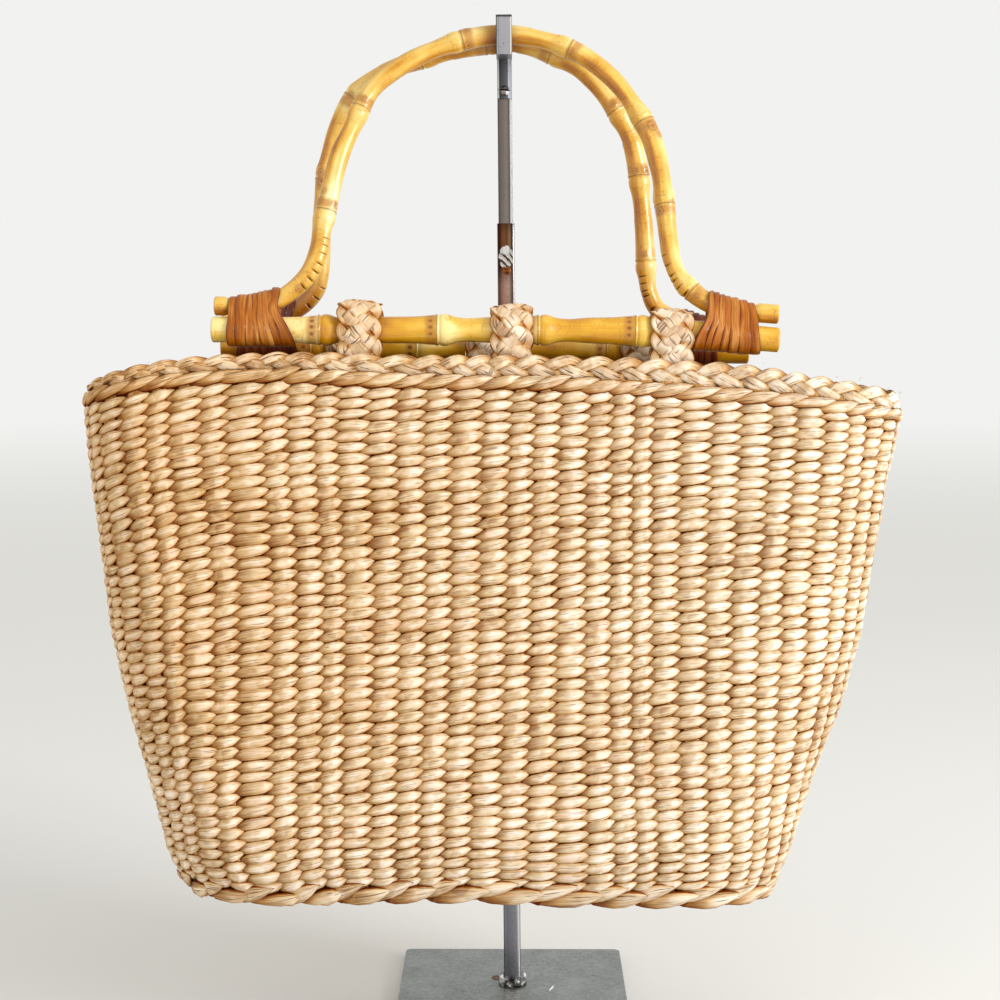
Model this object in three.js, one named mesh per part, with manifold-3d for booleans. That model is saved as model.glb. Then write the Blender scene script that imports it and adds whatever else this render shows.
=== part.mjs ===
// Straw basket bag with two bamboo handles, hung on a small metal display stand.
// Millimetres, +Z up. The origin is the middle of the base plate's underside, the
// bag's front faces -Y, and +X is on the right when the front is seen.
import * as THREE from 'three';
import Module from 'manifold-3d';
import { mergeVertices } from 'three/addons/utils/BufferGeometryUtils.js';

// Driving dimensions: the gap that meeting pieces keep, and the woven wall
const GAP = 0.3;
const WALL = 5;
const AROUND = 60;            // points round each level of the basket

// Rim and base rows, heights and radial thicknesses
const BRAID_HEIGHT = 10.6;
const BRAID_THICK = 8.6;
const WALE_HEIGHT = 6.6;
const WALE_THICK = 7.6;
const WALE_INSET = 1.5;       // of the wale's middle: it stands proud of the wall's outer face
const HEM_HEIGHT = 10;
const HEM_THICK = 7;
const RIM_TOP = 346;          // top of the braid at the bag's ends
const WALL_FOOT = 97;         // underside of the woven bottom, at the bag's ends
const FRONT_RISE = 17;        // how much the handles lift the rim at mid front
const BACK_RISE = 6;          // and at mid back
const BASE_TILT = 5;          // the hanging base's front edge stands this much higher
const ROLL = 0.011;           // the bag's right end hangs a little lower

// The basket at each level, measured at the bag's ends: half width, half depth, the
// middle's x and y, how far each corner reaches in along x (left, right) and along y,
// and how far the front bulges
const LEVELS = [
  { z: 88, width: 148, depth: 69, x: -17.5, y: -79, left: 44, right: 52, reach: 44, crown: 0 },
  { z: 98, width: 153, depth: 72.5, x: -18, y: -80, left: 46, right: 55, reach: 46, crown: 1 },
  { z: 110, width: 158.6, depth: 74.5, x: -18, y: -81.5, left: 48, right: 58, reach: 48, crown: 2 },
  { z: 125, width: 162.4, depth: 74, x: -17.3, y: -81.3, left: 48, right: 60, reach: 50, crown: 3 },
  { z: 150, width: 171.2, depth: 70.5, x: -16.9, y: -78, left: 47, right: 61, reach: 52, crown: 4 },
  { z: 180, width: 183.4, depth: 65, x: -15.4, y: -72.5, left: 46, right: 62, reach: 52, crown: 5 },
  { z: 220, width: 195.2, depth: 58.5, x: -14, y: -66.2, left: 44, right: 62, reach: 50, crown: 5 },
  { z: 260, width: 202.4, depth: 51.5, x: -13.2, y: -59.7, left: 41, right: 61, reach: 46, crown: 5 },
  { z: 300, width: 209.8, depth: 43.5, x: -12.8, y: -52.2, left: 38, right: 60, reach: 41, crown: 3 },
  { z: 328, width: 215.3, depth: 38.5, x: -11.3, y: -47.7, left: 36, right: 60, reach: 37, crown: 2 },
  { z: 346, width: 214, depth: 36.5, x: -10.4, y: -46, left: 34, right: 58, reach: 35, crown: 1 },
];

// Bamboo: radii, and how far a node stands out. An arch is a little thinner at its cut
// ends, and the rattan pinches it beside them.
const ROD_RADIUS = 7;
const ARCH_RADIUS = 5.3;
const STUB_RADIUS = 4.9;
const PINCHED_RADIUS = 3.7;
const PINCH_LENGTH = 16;      // from the pinch to the arch's full radius
const NODE_RISE = 1.1;
const NODE_HALF = 2.2;
const END_EASE = 1.2;

// Each handle stands in its own leaning plane: x runs along the rod and up is measured
// from the rod. rod and arch are points of the two centre lines, nodes lie on them, and
// stubs are the lengths of the arch's bare ends, left and right.
const FRONT_HANDLE = {
  name: 'front', y: -70, z: 374.5, lean: 0.2839, stubs: [3.7, 8.5],
  rod: [[-155.6, 0.6], [-100, 0.4], [20, 0.3], [63, -0.3], [100, -2], [137.2, -5]],
  rodNodes: [-99.2, -40.5, 12.4, 63.4],
  arch: [
    [-154.6, 14], [-142, 14.1], [-131, 14.9], [-122, 17], [-113.5, 22.5], [-106.7, 29.6],
    [-103, 37], [-100.9, 45], [-99.3, 57], [-96.4, 71], [-91.2, 94.5], [-84.9, 110],
    [-75.4, 130.6], [-65.2, 140.5], [-52, 149.2], [-34, 157], [-16, 161.5], [-5.4, 162.4],
    [6, 161.5], [22, 157.5], [38, 149.8], [53.6, 136.4], [65.8, 118.8], [72.8, 104],
    [77, 86], [79.3, 66], [80.8, 50], [82.7, 37.5], [86.6, 28.2], [93.5, 20.5],
    [103, 14], [118, 10.6], [137.4, 8.7],
  ],
  archNodes: [[-27.2, 159.2], [-80.3, 121], [-98.3, 64.5], [30.1, 153.9], [68.9, 113.5],
    [79, 67.4], [99, 16.6]],
  bindings: [
    { side: 'left', outer: -148.4, inner: -118.4, skew: -0.24 },
    { side: 'right', outer: 126.4, inner: 98.6, skew: 0.28 },
  ],
  loops: [
    { side: 'left', x: -79, width: 21, slack: 4.6 },
    { side: 'middle', x: -0.7, width: 20, slack: 2.6 },
    { side: 'right', x: 81.8, width: 20.4, slack: 1.4 },
  ],
};
const BACK_HANDLE = {
  name: 'back', y: -22, z: 364.8, lean: 0.0597, stubs: [5.8, 14.4],
  rod: [[-157.5, 0.4], [-60, 0.2], [50, -0.6], [127, -2.4]],
  rodNodes: [-108, -51.3, 49.7],
  arch: [
    [-157, 13.6], [-146, 13.8], [-134, 15], [-123, 18], [-114.4, 24], [-107.6, 31.8],
    [-106, 40], [-104.6, 51], [-103.6, 64], [-101.4, 81.5], [-99.7, 97], [-96.4, 112],
    [-89.5, 128.5], [-79.5, 140.5], [-66, 148.6], [-50, 154.4], [-33, 159.2], [-15, 162.4],
    [-5.4, 163], [8, 161.4], [22, 156.4], [36, 148.6], [48.4, 136.6], [56.6, 125],
    [62.8, 113], [66.6, 98], [68.6, 82], [70.2, 66], [71.8, 51.5], [73.4, 40],
    [76, 28.3], [81.5, 19.5], [93, 14], [107, 11.6], [126.6, 10.6],
  ],
  archNodes: [[-14.6, 162.2], [-50.1, 154.2], [-85, 134.5], [-100, 95], [20.3, 157.2],
    [54.4, 128.4], [66.9, 96], [71.8, 51.5]],
  bindings: [
    { side: 'left', outer: -148.6, inner: -119.5, skew: -0.24 },
    { side: 'right', outer: 109.5, inner: 88.5, skew: 0.3 },
  ],
  loops: [
    { side: 'left', x: -89, width: 21, slack: 2 },
    { side: 'middle', x: -14.5, width: 20, slack: 2 },
    { side: 'right', x: 69, width: 21, slack: 2 },
  ],
};

// Rattan wrapping round rod and arch, and the plaited straps round the rods
const WRAP_THICK = 1;
const WRAP_CROWN = 0.6;
const WRAPS = 8;
const ROD_PLAY = 0.4;         // between a rod and the rattan or straps round it
const ARCH_PLAY = 0.65;       // between an arch and the rattan round it
const WRAP_LEVEL = 7;         // height above the rod at which a wrap's x is measured
const WRAP_TOP = 15;          // and the height at which it passes over the arch
const STRAP_THICK = 4.8;
const STRAP_TAIL = 26;        // how far a strap's ends go down behind the braid

// Display stand: base plate, telescopic square post, hook and screws
const PLATE = 127;
const PLATE_THICK = 4;
const PLATE_CORNER = 4;
const LEAN = 0.0092;          // the post leans this much towards -X, radians
const TUBE_WIDE = 9.5;
const TUBE_TOP = 431.9;
const TUBE_CORNER = 1.1;
const TUBE_BORE = 8.5;
const BORE_CORNER = 0.6;
const TUBE_FLOOR = 6;         // thickness of the tube's closed foot
const BAR_WIDE = 7.9;
const BAR_CORNER = 0.5;
const BAR_FOOT = 380;         // the bar reaches this far down inside the tube
const BAR_TOP = 520;
const HOOK_WIDE = 8.4;        // of the arm and the tab
const LEG_WIDE = 7.5;
const HOOK_THICK = 1.9;
const HOOK_FOOT = 499;
const ARM_TOP = 521.4;
const TAB_TOP = 540;
const TAB_FRONT = -33;
const SEAT_RADIUS = 7.5;      // inside bend between the hook's arm and its tab
const COLLAR_RADIUS = 7.9;
const COLLAR_HEIGHT = 5;
const LUG_RADIUS = 2.1;       // the collar's screw lug, its length and its middle's reach
const LUG_LENGTH = 3.4;
const LUG_REACH = 8.8;
const SCREW_LEVEL = 503;      // the screw that holds the hook, and its slotted head
const SCREW_HEAD = [[0, 0], [2.7, 0], [2.7, 0.8], [1.9, 1.7], [0, 2]];
const SLOT = { long: 7, deep: 1, wide: 0.7 };
const THUMB_LEVEL = 413.4;    // the thumb screw: oval head, shank and the ball on its rim
const THUMB_HALF_WIDE = 4;
const THUMB_HALF_HIGH = 6.4;
const THUMB_THICK = 4.2;
const THUMB_STANDOFF = 3.5;
const THUMB_FLUTES = 7;
const FLUTE_DEPTH = 0.1;
const SHANK_RADIUS = 2.4;
const SHANK_LENGTH = 4;
const BALL_RADIUS = 2.1;

const straw = { color: 0xd9b17c, roughness: 0.75, metalness: 0 };
const paleStraw = { color: 0xe6cfac, roughness: 0.75, metalness: 0 };
const bamboo = { color: 0xe0b04a, roughness: 0.35, metalness: 0 };
const rattan = { color: 0xa9602a, roughness: 0.35, metalness: 0 };
const steel = { color: 0x8d8a88, roughness: 0.35, metalness: 1 };
const zinc = { color: 0x8f9390, roughness: 0.55, metalness: 1 };

const wasm = await Module();
wasm.setup();

function mesh(name, geometry, look) {
  const made = new THREE.Mesh(geometry, new THREE.MeshStandardMaterial(look));
  made.name = name;
  return made;
}

// A closed surface through rings of equally many points. Neighbouring rings are joined
// by a band of triangles; the ends are closed by fans, or the last ring meets the first.
function loft(rings, isLoop = false) {
  const count = rings[0].length;
  const points = rings.flat();
  const faces = [];
  const bands = isLoop ? rings.length : rings.length - 1;
  for (let i = 0; i < bands; i++) {
    const next = (i + 1) % rings.length;
    for (let j = 0; j < count; j++) {
      const k = (j + 1) % count;
      const [a, b, c, d] = [i * count + j, i * count + k, next * count + k, next * count + j];
      faces.push(a, b, c, a, c, d);
    }
  }
  if (!isLoop) {
    for (const [ring, turned] of [[0, true], [rings.length - 1, false]]) {
      const middle = new THREE.Vector3();
      rings[ring].forEach((point) => middle.add(point));
      points.push(middle.divideScalar(count));
      for (let j = 0; j < count; j++) {
        const pair = [ring * count + j, ring * count + (j + 1) % count];
        faces.push(points.length - 1, ...(turned ? pair.reverse() : pair));
      }
    }
  }
  return facingOut(points, faces);
}

// Geometry whose faces point outwards: they are turned over if the volume is negative
function facingOut(points, faces) {
  let volume = 0;
  for (let i = 0; i < faces.length; i += 3) {
    const [a, b, c] = [points[faces[i]], points[faces[i + 1]], points[faces[i + 2]]];
    volume += a.dot(b.clone().cross(c));
  }
  if (volume < 0) faces.reverse();
  const geometry = new THREE.BufferGeometry().setFromPoints(points);
  geometry.setIndex(faces);
  geometry.computeVertexNormals();
  return geometry;
}

function toSolid(geometry) {
  const bare = geometry.clone();
  bare.deleteAttribute('normal');
  bare.deleteAttribute('uv');
  const merged = mergeVertices(bare, 1e-4);
  return new wasm.Manifold(new wasm.Mesh({
    numProp: 3,
    vertProperties: new Float32Array(merged.attributes.position.array),
    triVerts: new Uint32Array(merged.index.array),
  }));
}

function fromSolid(solid) {
  const out = solid.getMesh();
  const geometry = new THREE.BufferGeometry();
  geometry.setAttribute('position', new THREE.BufferAttribute(out.vertProperties, 3));
  geometry.setIndex(new THREE.BufferAttribute(out.triVerts, 1));
  geometry.computeVertexNormals();
  return geometry;
}

// The basket's measures at a level, straight between the rows of LEVELS
function levelAt(z) {
  const upper = Math.max(1, LEVELS.findIndex((row) => row.z >= z));
  const [a, b] = [LEVELS[upper - 1], LEVELS[upper]];
  const t = (z - a.z) / (b.z - a.z);
  return Object.fromEntries(Object.keys(a).map((key) => [key, a[key] + t * (b[key] - a[key])]));
}

// One level's outline, AROUND points a steady distance apart, starting at mid front and
// going towards +X. A rectangle with elliptical corners whose front bulges; every point
// also has its outward direction. inset moves the outline inwards.
function outline(z, inset = 0) {
  const s = levelAt(z);
  const [width, depth] = [s.width - inset, s.depth - inset];
  const corners = [
    { x: 1, y: -1, from: -Math.PI / 2, reach: s.right - inset },
    { x: 1, y: 1, from: 0, reach: s.right - inset },
    { x: -1, y: 1, from: Math.PI / 2, reach: s.left - inset },
    { x: -1, y: -1, from: Math.PI, reach: s.left - inset },
  ];
  const deep = Math.min(s.reach, s.depth) - inset;
  const fine = [new THREE.Vector2(0, -depth)];
  for (const corner of corners) {
    for (let i = 0; i <= 24; i++) {
      const turn = corner.from + (Math.PI / 2) * (i / 24);
      fine.push(new THREE.Vector2(
        corner.x * (width - corner.reach) + corner.reach * Math.cos(turn),
        corner.y * (depth - deep) + deep * Math.sin(turn),
      ));
    }
  }
  fine.push(new THREE.Vector2(0, -depth));
  fine.forEach((p) => {
    p.y -= s.crown * Math.max(0, -p.y / depth) * (1 - (p.x / width) ** 2);
  });
  const total = fine.slice(1).reduce((sum, p, i) => sum + p.distanceTo(fine[i]), 0);
  const points = [];
  let walked = 0;
  let i = 1;
  for (let j = 0; j < AROUND; j++) {
    const goal = (total * j) / AROUND;
    while (walked + fine[i].distanceTo(fine[i - 1]) < goal) {
      walked += fine[i].distanceTo(fine[i - 1]);
      i += 1;
    }
    const span = fine[i].clone().sub(fine[i - 1]);
    const point = fine[i - 1].clone().addScaledVector(span, (goal - walked) / span.length());
    const out = new THREE.Vector2(span.y, -span.x).normalize();
    points.push({ point, out, across: point.x / width, ahead: -point.y / depth });
  }
  return points.map(({ point, out, across, ahead }) => ({
    at: new THREE.Vector3(point.x + s.x, point.y + s.y, z + rise(z, point.x, across, ahead)),
    out: new THREE.Vector3(out.x, out.y, 0),
  }));
}

// How far a point of the basket stands above its level: the handles lift the rim's
// middle, the base tilts, and the whole bag rolls a little
function rise(z, x, across, ahead) {
  const share = THREE.MathUtils.clamp((z - WALL_FOOT) / (RIM_TOP - WALL_FOOT), 0, 1);
  const lift = ahead > 0 ? FRONT_RISE : BACK_RISE;
  const arch = lift * share ** 1.2 * (1 - Math.abs(across) ** (across < 0 ? 5.5 : 4));
  return arch * Math.min(1, Math.abs(ahead) * 2) + BASE_TILT * (1 - share) * ahead - ROLL * x;
}

function basketBody() {
  const top = RIM_TOP - BRAID_HEIGHT - WALE_HEIGHT - 2 * GAP;
  const heights = [WALL_FOOT, 103, 111, 127, 150, 185, 225, 265, 300, top];
  const inside = [top, 280, 220, 160, 120, WALL_FOOT + WALL];
  const rings = [
    ...heights.map((z) => outline(z).map((p) => p.at)),
    ...inside.map((z) => outline(z, WALL).map((p) => p.at)),
  ];
  return mesh('basket_body', loft(rings), straw);
}

// A woven row that runs all round the basket: a six-sided section, its flat flanks facing
// out and in, carried along the outline at level z and set in from the outer face
function roundRow(name, z, inset, height, thick, look) {
  const rings = outline(z, inset).map(({ at, out }) => {
    const ring = [];
    for (let i = 0; i < 6; i++) {
      const turn = (Math.PI / 3) * i + Math.PI / 6;
      const reach = (thick / 2) * (Math.cos(turn) / Math.cos(Math.PI / 6));
      const point = at.clone().addScaledVector(out, reach);
      point.z += (height / 2) * Math.sin(turn);
      ring.push(point);
    }
    return ring;
  });
  return mesh(name, loft(rings, true), look);
}

function curveOf(points) {
  return new THREE.CatmullRomCurve3(
    points.map(([x, up]) => new THREE.Vector3(x, 0, up)), false, 'centripetal');
}

// Distance along a curve of the point nearest to [x, up]
function lengthAt(curve, [x, up]) {
  const goal = new THREE.Vector3(x, 0, up);
  const steps = 600;
  let best = 0;
  for (let i = 1; i <= steps; i++) {
    const near = curve.getPointAt(i / steps).distanceTo(goal);
    if (near < curve.getPointAt(best / steps).distanceTo(goal)) best = i;
  }
  return (curve.getLength() * best) / steps;
}

// Radius of an arch at a distance from its nearer end, whose bare length is stub
function archRadius(fromEnd, stub) {
  if (fromEnd <= stub) return STUB_RADIUS;
  const share = THREE.MathUtils.clamp((fromEnd - stub - NODE_HALF) / PINCH_LENGTH, 0, 1);
  return PINCHED_RADIUS + (ARCH_RADIUS - PINCHED_RADIUS) * share;
}

// A cane along a curve in the handle's plane: round rings across the path, a raised
// ring at every node and eased end faces. More rings stand at the marks given.
function cane(curve, radiusAt, extraMarks, nodes, sides, step) {
  const length = curve.getLength();
  const marks = [0, END_EASE, length - END_EASE, length, ...extraMarks];
  for (const node of nodes) marks.push(node - NODE_HALF, node, node + NODE_HALF);
  const ends = [...marks].sort((a, b) => a - b);
  for (let i = 1; i < ends.length; i++) {
    const parts = Math.round((ends[i] - ends[i - 1]) / step);
    for (let j = 1; j < parts; j++) marks.push(ends[i - 1] + ((ends[i] - ends[i - 1]) * j) / parts);
  }
  marks.sort((a, b) => a - b);
  const rings = marks.map((along) => {
    const share = along / length;
    const point = curve.getPointAt(share);
    const ahead = curve.getTangentAt(share);
    let r = radiusAt(along);
    if (along === 0 || along === length) r -= END_EASE;
    if (nodes.includes(along)) r += NODE_RISE;
    const side = new THREE.Vector3(0, 1, 0);
    const up = side.clone().cross(ahead).normalize();
    const ring = [];
    for (let i = 0; i < sides; i++) {
      const turn = (2 * Math.PI * i) / sides;
      ring.push(point.clone().addScaledVector(side, r * Math.cos(turn))
        .addScaledVector(up, r * Math.sin(turn)));
    }
    return ring;
  });
  return loft(rings);
}

// Height above the rod of a centre line at x, how steep it is there, and how far that is
// from the line's end on the same side of the bag as x
function lineAt(points, x) {
  const fine = curveOf(points).getPoints(400);
  const ordered = x < 0 ? fine : fine.reverse();
  const i = ordered.findIndex((p, k) => k > 0 && (x < 0 ? p.x >= x : p.x <= x));
  const [a, b] = [ordered[i - 1], ordered[i]];
  const slope = (b.z - a.z) / (b.x - a.x);
  const walked = ordered.slice(1, i + 1).reduce((sum, p, k) => sum + p.distanceTo(ordered[k]), 0);
  return { up: a.z + (x - a.x) * slope, slope, fromEnd: walked };
}

// Rattan wound round rod and arch: a sleeve whose section is two half circles joined by
// straight flanks, with one raised rib for each wrap. The wraps lean towards the bend.
function binding(handle, { side, outer, inner, skew }) {
  const stations = 2 * WRAPS + 1;
  const stub = handle.stubs[side === 'left' ? 0 : 1];
  const section = (share, extra) => {
    const x = outer + (inner - outer) * share;
    const lean = skew * share;
    const foot = lineAt(handle.rod, x);
    const topX = x + lean * (WRAP_TOP - WRAP_LEVEL);
    const head = lineAt(handle.arch, topX);
    const low = ROD_RADIUS + ROD_PLAY + extra;
    const bare = archRadius(Math.max(head.fromEnd, stub + NODE_HALF), stub);
    const high = bare / Math.cos(Math.atan(head.slope)) + ARCH_PLAY + extra;
    const ring = [];
    for (let i = 0; i < 12; i++) {
      const isHead = i < 6;
      const turn = isHead ? (Math.PI * i) / 5 : Math.PI + (Math.PI * (i - 6)) / 5;
      const [centre, r] = isHead ? [head.up, high] : [foot.up, low];
      const up = centre + r * Math.sin(turn);
      ring.push(new THREE.Vector3(x + lean * (up - WRAP_LEVEL), r * Math.cos(turn), up));
    }
    return ring;
  };
  const rings = [];
  for (let i = 0; i < stations; i++) {
    rings.push(section(i / (stations - 1), WRAP_THICK + (i % 2 ? WRAP_CROWN : 0)));
  }
  for (let i = 4; i >= 0; i--) rings.push(section(i / 4, 0));
  return mesh(`${handle.name}_binding_${side}`, loft(rings, true), rattan);
}

// y of the braid's inner side at x, at the front or the back of the mouth
function braidInside(x, atFront) {
  const ring = outline(RIM_TOP - BRAID_HEIGHT / 2, WALL / 2)
    .filter(({ out }) => (atFront ? out.y < -0.5 : out.y > 0.5));
  const nearest = ring.reduce((a, b) => (Math.abs(a.at.x - x) < Math.abs(b.at.x - x) ? a : b));
  return nearest.at.y + (atFront ? 1 : -1) * (BRAID_THICK / 2);
}

// A plaited strap: over the rod with a little slack above it, both ends down together
// behind the rim braid
function strap(handle, { side, x, width, slack }) {
  const rod = lineAt(handle.rod, x);
  const rodY = handle.y + rod.up * Math.sin(handle.lean);
  const rodZ = handle.z + rod.up * Math.cos(handle.lean);
  const hole = ROD_RADIUS + ROD_PLAY;
  const round = hole + STRAP_THICK;
  const inward = handle.name === 'front' ? 1 : -1;
  const nearFace = braidInside(x, inward > 0) + inward * GAP;
  const near = inward * (nearFace - rodY);
  const far = near + STRAP_THICK;
  const drop = (offset) => -Math.sqrt(round * round - offset * offset);
  const shape = new THREE.Shape();
  shape.moveTo(near, drop(near) - STRAP_TAIL + round);
  shape.lineTo(near, drop(near));
  const start = Math.atan2(drop(near), near);
  const end = Math.atan2(drop(far), far);
  shape.absarc(0, 0, round, start, -Math.PI, true);
  shape.absarc(0, slack, round, Math.PI, 0, true);
  shape.absarc(0, 0, round, 0, end, true);
  shape.lineTo(far, drop(near) - STRAP_TAIL + round);
  shape.closePath();
  shape.holes.push(new THREE.Path().absarc(0, 0, hole, 0, 2 * Math.PI, false));
  const geometry = new THREE.ExtrudeGeometry(shape,
    { depth: width, bevelEnabled: false, curveSegments: 7 });
  geometry.translate(0, 0, -width / 2);
  geometry.rotateX(Math.PI / 2);
  geometry.rotateZ(inward > 0 ? Math.PI / 2 : -Math.PI / 2);
  const made = mesh(`${handle.name}_loop_${side}`, geometry, paleStraw);
  made.position.set(x, rodY, rodZ);
  made.rotation.y = -Math.atan(rod.slope);
  return made;
}

function handle(spec) {
  const group = new THREE.Group();
  group.position.set(0, spec.y, spec.z);
  group.rotation.x = -spec.lean;
  const rodCurve = curveOf(spec.rod);
  const rodMarks = spec.rodNodes.map((x) => lengthAt(rodCurve, [x, lineAt(spec.rod, x).up]));
  const rod = cane(rodCurve, () => ROD_RADIUS, [], rodMarks, 12, 30);
  const archCurve = curveOf(spec.arch);
  const archMarks = spec.archNodes.map((node) => lengthAt(archCurve, node));
  const archLength = archCurve.getLength();
  const [left, right] = spec.stubs;
  const pinch = [0, NODE_HALF, NODE_HALF + PINCH_LENGTH];
  const stubMarks = pinch.flatMap((more) => [left + more, archLength - right - more]);
  const radiusAt = (along) => (along < archLength / 2
    ? archRadius(along, left) : archRadius(archLength - along, right));
  const arch = cane(archCurve, radiusAt, stubMarks, archMarks, 10, 16);
  group.add(mesh(`${spec.name}_rod`, rod, bamboo));
  group.add(mesh(`${spec.name}_arch`, arch, bamboo));
  for (const row of spec.bindings) group.add(binding(spec, row));
  return group;
}

function bag() {
  const group = new THREE.Group();
  const braidLevel = RIM_TOP - BRAID_HEIGHT / 2;
  const waleLevel = RIM_TOP - BRAID_HEIGHT - GAP - WALE_HEIGHT / 2;
  const hemLevel = WALL_FOOT - 2 * GAP - HEM_HEIGHT / 2;
  group.add(basketBody());
  group.add(roundRow('rim_wale', waleLevel, WALE_INSET, WALE_HEIGHT, WALE_THICK, straw));
  group.add(roundRow('rim_braid', braidLevel, WALL / 2, BRAID_HEIGHT, BRAID_THICK, straw));
  group.add(roundRow('base_wale', hemLevel, HEM_THICK / 2, HEM_HEIGHT, HEM_THICK, straw));
  for (const spec of [FRONT_HANDLE, BACK_HANDLE]) {
    group.add(handle(spec));
    for (const row of spec.loops) group.add(strap(spec, row));
  }
  return group;
}

function roundedSquare(wide, corner) {
  const half = wide / 2;
  const shape = new THREE.Shape();
  shape.moveTo(-half + corner, -half);
  shape.lineTo(half - corner, -half);
  shape.absarc(half - corner, -half + corner, corner, -Math.PI / 2, 0);
  shape.lineTo(half, half - corner);
  shape.absarc(half - corner, half - corner, corner, 0, Math.PI / 2);
  shape.lineTo(-half + corner, half);
  shape.absarc(-half + corner, half - corner, corner, Math.PI / 2, Math.PI);
  shape.lineTo(-half, -half + corner);
  shape.absarc(-half + corner, -half + corner, corner, Math.PI, 1.5 * Math.PI);
  shape.closePath();
  return shape;
}

function extruded(shape, depth, curveSegments = 3) {
  return new THREE.ExtrudeGeometry(shape, { depth, bevelEnabled: false, curveSegments });
}

// A square tube, open at the top, closed at its foot
function postTube() {
  const foot = PLATE_THICK + GAP;
  const outside = extruded(roundedSquare(TUBE_WIDE, TUBE_CORNER), TUBE_TOP - foot);
  const bore = extruded(roundedSquare(TUBE_BORE, BORE_CORNER), TUBE_TOP);
  bore.translate(0, 0, TUBE_FLOOR);
  const geometry = fromSolid(toSolid(outside).subtract(toSolid(bore)));
  geometry.translate(0, 0, foot);
  return mesh('post_tube', geometry, steel);
}

function postBar() {
  const geometry = extruded(roundedSquare(BAR_WIDE, BAR_CORNER), BAR_TOP - BAR_FOOT);
  geometry.translate(0, 0, BAR_FOOT);
  return mesh('post_bar', geometry, steel);
}

// The ring that grips the tube just above the plate, with its screw lug at the front
function postCollar() {
  const rim = new THREE.Shape().absarc(0, 0, COLLAR_RADIUS, 0, 2 * Math.PI, false);
  const lug = new THREE.CylinderGeometry(LUG_RADIUS, LUG_RADIUS, LUG_LENGTH, 10);
  lug.translate(0, -LUG_REACH, COLLAR_HEIGHT / 2);
  const bore = extruded(roundedSquare(TUBE_WIDE + 2 * GAP, TUBE_CORNER), 3 * COLLAR_HEIGHT);
  bore.translate(0, 0, -COLLAR_HEIGHT);
  const ring = toSolid(extruded(rim, COLLAR_HEIGHT, 8));
  const solid = ring.add(toSolid(lug)).subtract(toSolid(bore));
  const geometry = fromSolid(solid);
  geometry.translate(0, 0, PLATE_THICK + GAP);
  return mesh('post_collar', geometry, steel);
}

// A strip of the hook: a profile in the Y-Z plane given a width along X
function hookStrip(shape, wide) {
  const geometry = extruded(shape, wide, 6);
  geometry.translate(0, 0, -wide / 2);
  geometry.rotateX(Math.PI / 2);
  geometry.rotateZ(Math.PI / 2);
  return toSolid(geometry);
}

// The hook: a narrow leg on the bar, a wider arm to the front and an upright tab
function hook() {
  const legBack = -BAR_WIDE / 2 - GAP;
  const legFront = legBack - HOOK_THICK;
  const tabBack = TAB_FRONT + HOOK_THICK;
  const under = ARM_TOP - HOOK_THICK;
  const arm = new THREE.Shape();
  arm.moveTo(legBack, under);
  arm.lineTo(legBack, ARM_TOP);
  arm.lineTo(tabBack + SEAT_RADIUS, ARM_TOP);
  arm.absarc(tabBack + SEAT_RADIUS, ARM_TOP + SEAT_RADIUS, SEAT_RADIUS,
    1.5 * Math.PI, Math.PI, true);
  arm.lineTo(tabBack, TAB_TOP);
  arm.lineTo(TAB_FRONT, TAB_TOP);
  arm.lineTo(TAB_FRONT, under);
  arm.closePath();
  const leg = new THREE.Shape();
  leg.moveTo(legBack, HOOK_FOOT);
  leg.lineTo(legBack, ARM_TOP);
  leg.lineTo(legFront, ARM_TOP);
  leg.lineTo(legFront, HOOK_FOOT);
  leg.closePath();
  const solid = hookStrip(arm, HOOK_WIDE).add(hookStrip(leg, LEG_WIDE));
  return mesh('hook', fromSolid(solid), steel);
}

// A round slotted head that faces -Y and holds the hook's leg to the bar
function hookScrew() {
  const profile = SCREW_HEAD.map(([r, y]) => new THREE.Vector2(r, y));
  const head = new THREE.LatheGeometry(profile, 14);
  const slot = new THREE.BoxGeometry(SLOT.long, SLOT.deep, SLOT.wide);
  slot.translate(0, profile[profile.length - 1].y, 0);
  const geometry = fromSolid(toSolid(head).subtract(toSolid(slot)));
  geometry.rotateX(Math.PI);
  geometry.translate(0, -BAR_WIDE / 2 - GAP - HOOK_THICK - GAP, SCREW_LEVEL);
  return mesh('hook_screw', geometry, steel);
}

// The tilted thumb screw that clamps the bar: an oval fluted head on a short shank
function thumbScrew() {
  const corners = 4 * THUMB_FLUTES;
  const shape = new THREE.Shape();
  for (let i = 0; i < corners; i++) {
    const turn = (2 * Math.PI * i) / corners;
    const r = i % 4 === 0 ? 1 - FLUTE_DEPTH : 1;
    const [x, y] = [THUMB_HALF_WIDE * r * Math.cos(turn), THUMB_HALF_HIGH * r * Math.sin(turn)];
    if (i === 0) shape.moveTo(x, y);
    else shape.lineTo(x, y);
  }
  shape.closePath();
  const head = extruded(shape, THUMB_THICK);
  const shank = new THREE.CylinderGeometry(SHANK_RADIUS, SHANK_RADIUS, SHANK_LENGTH, 12);
  shank.rotateX(Math.PI / 2);
  shank.translate(0, 0, (1 - SHANK_LENGTH) / 2);
  const ball = new THREE.SphereGeometry(BALL_RADIUS, 10, 7);
  ball.translate(0.6, -THUMB_HALF_HIGH - 0.8, 1.2);
  const solid = toSolid(head).add(toSolid(shank)).add(toSolid(ball));
  const geometry = fromSolid(solid);
  geometry.rotateX(Math.PI / 2);
  geometry.translate(0, -TUBE_WIDE / 2 - GAP - THUMB_STANDOFF, THUMB_LEVEL);
  return mesh('thumb_screw', geometry, steel);
}

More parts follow.
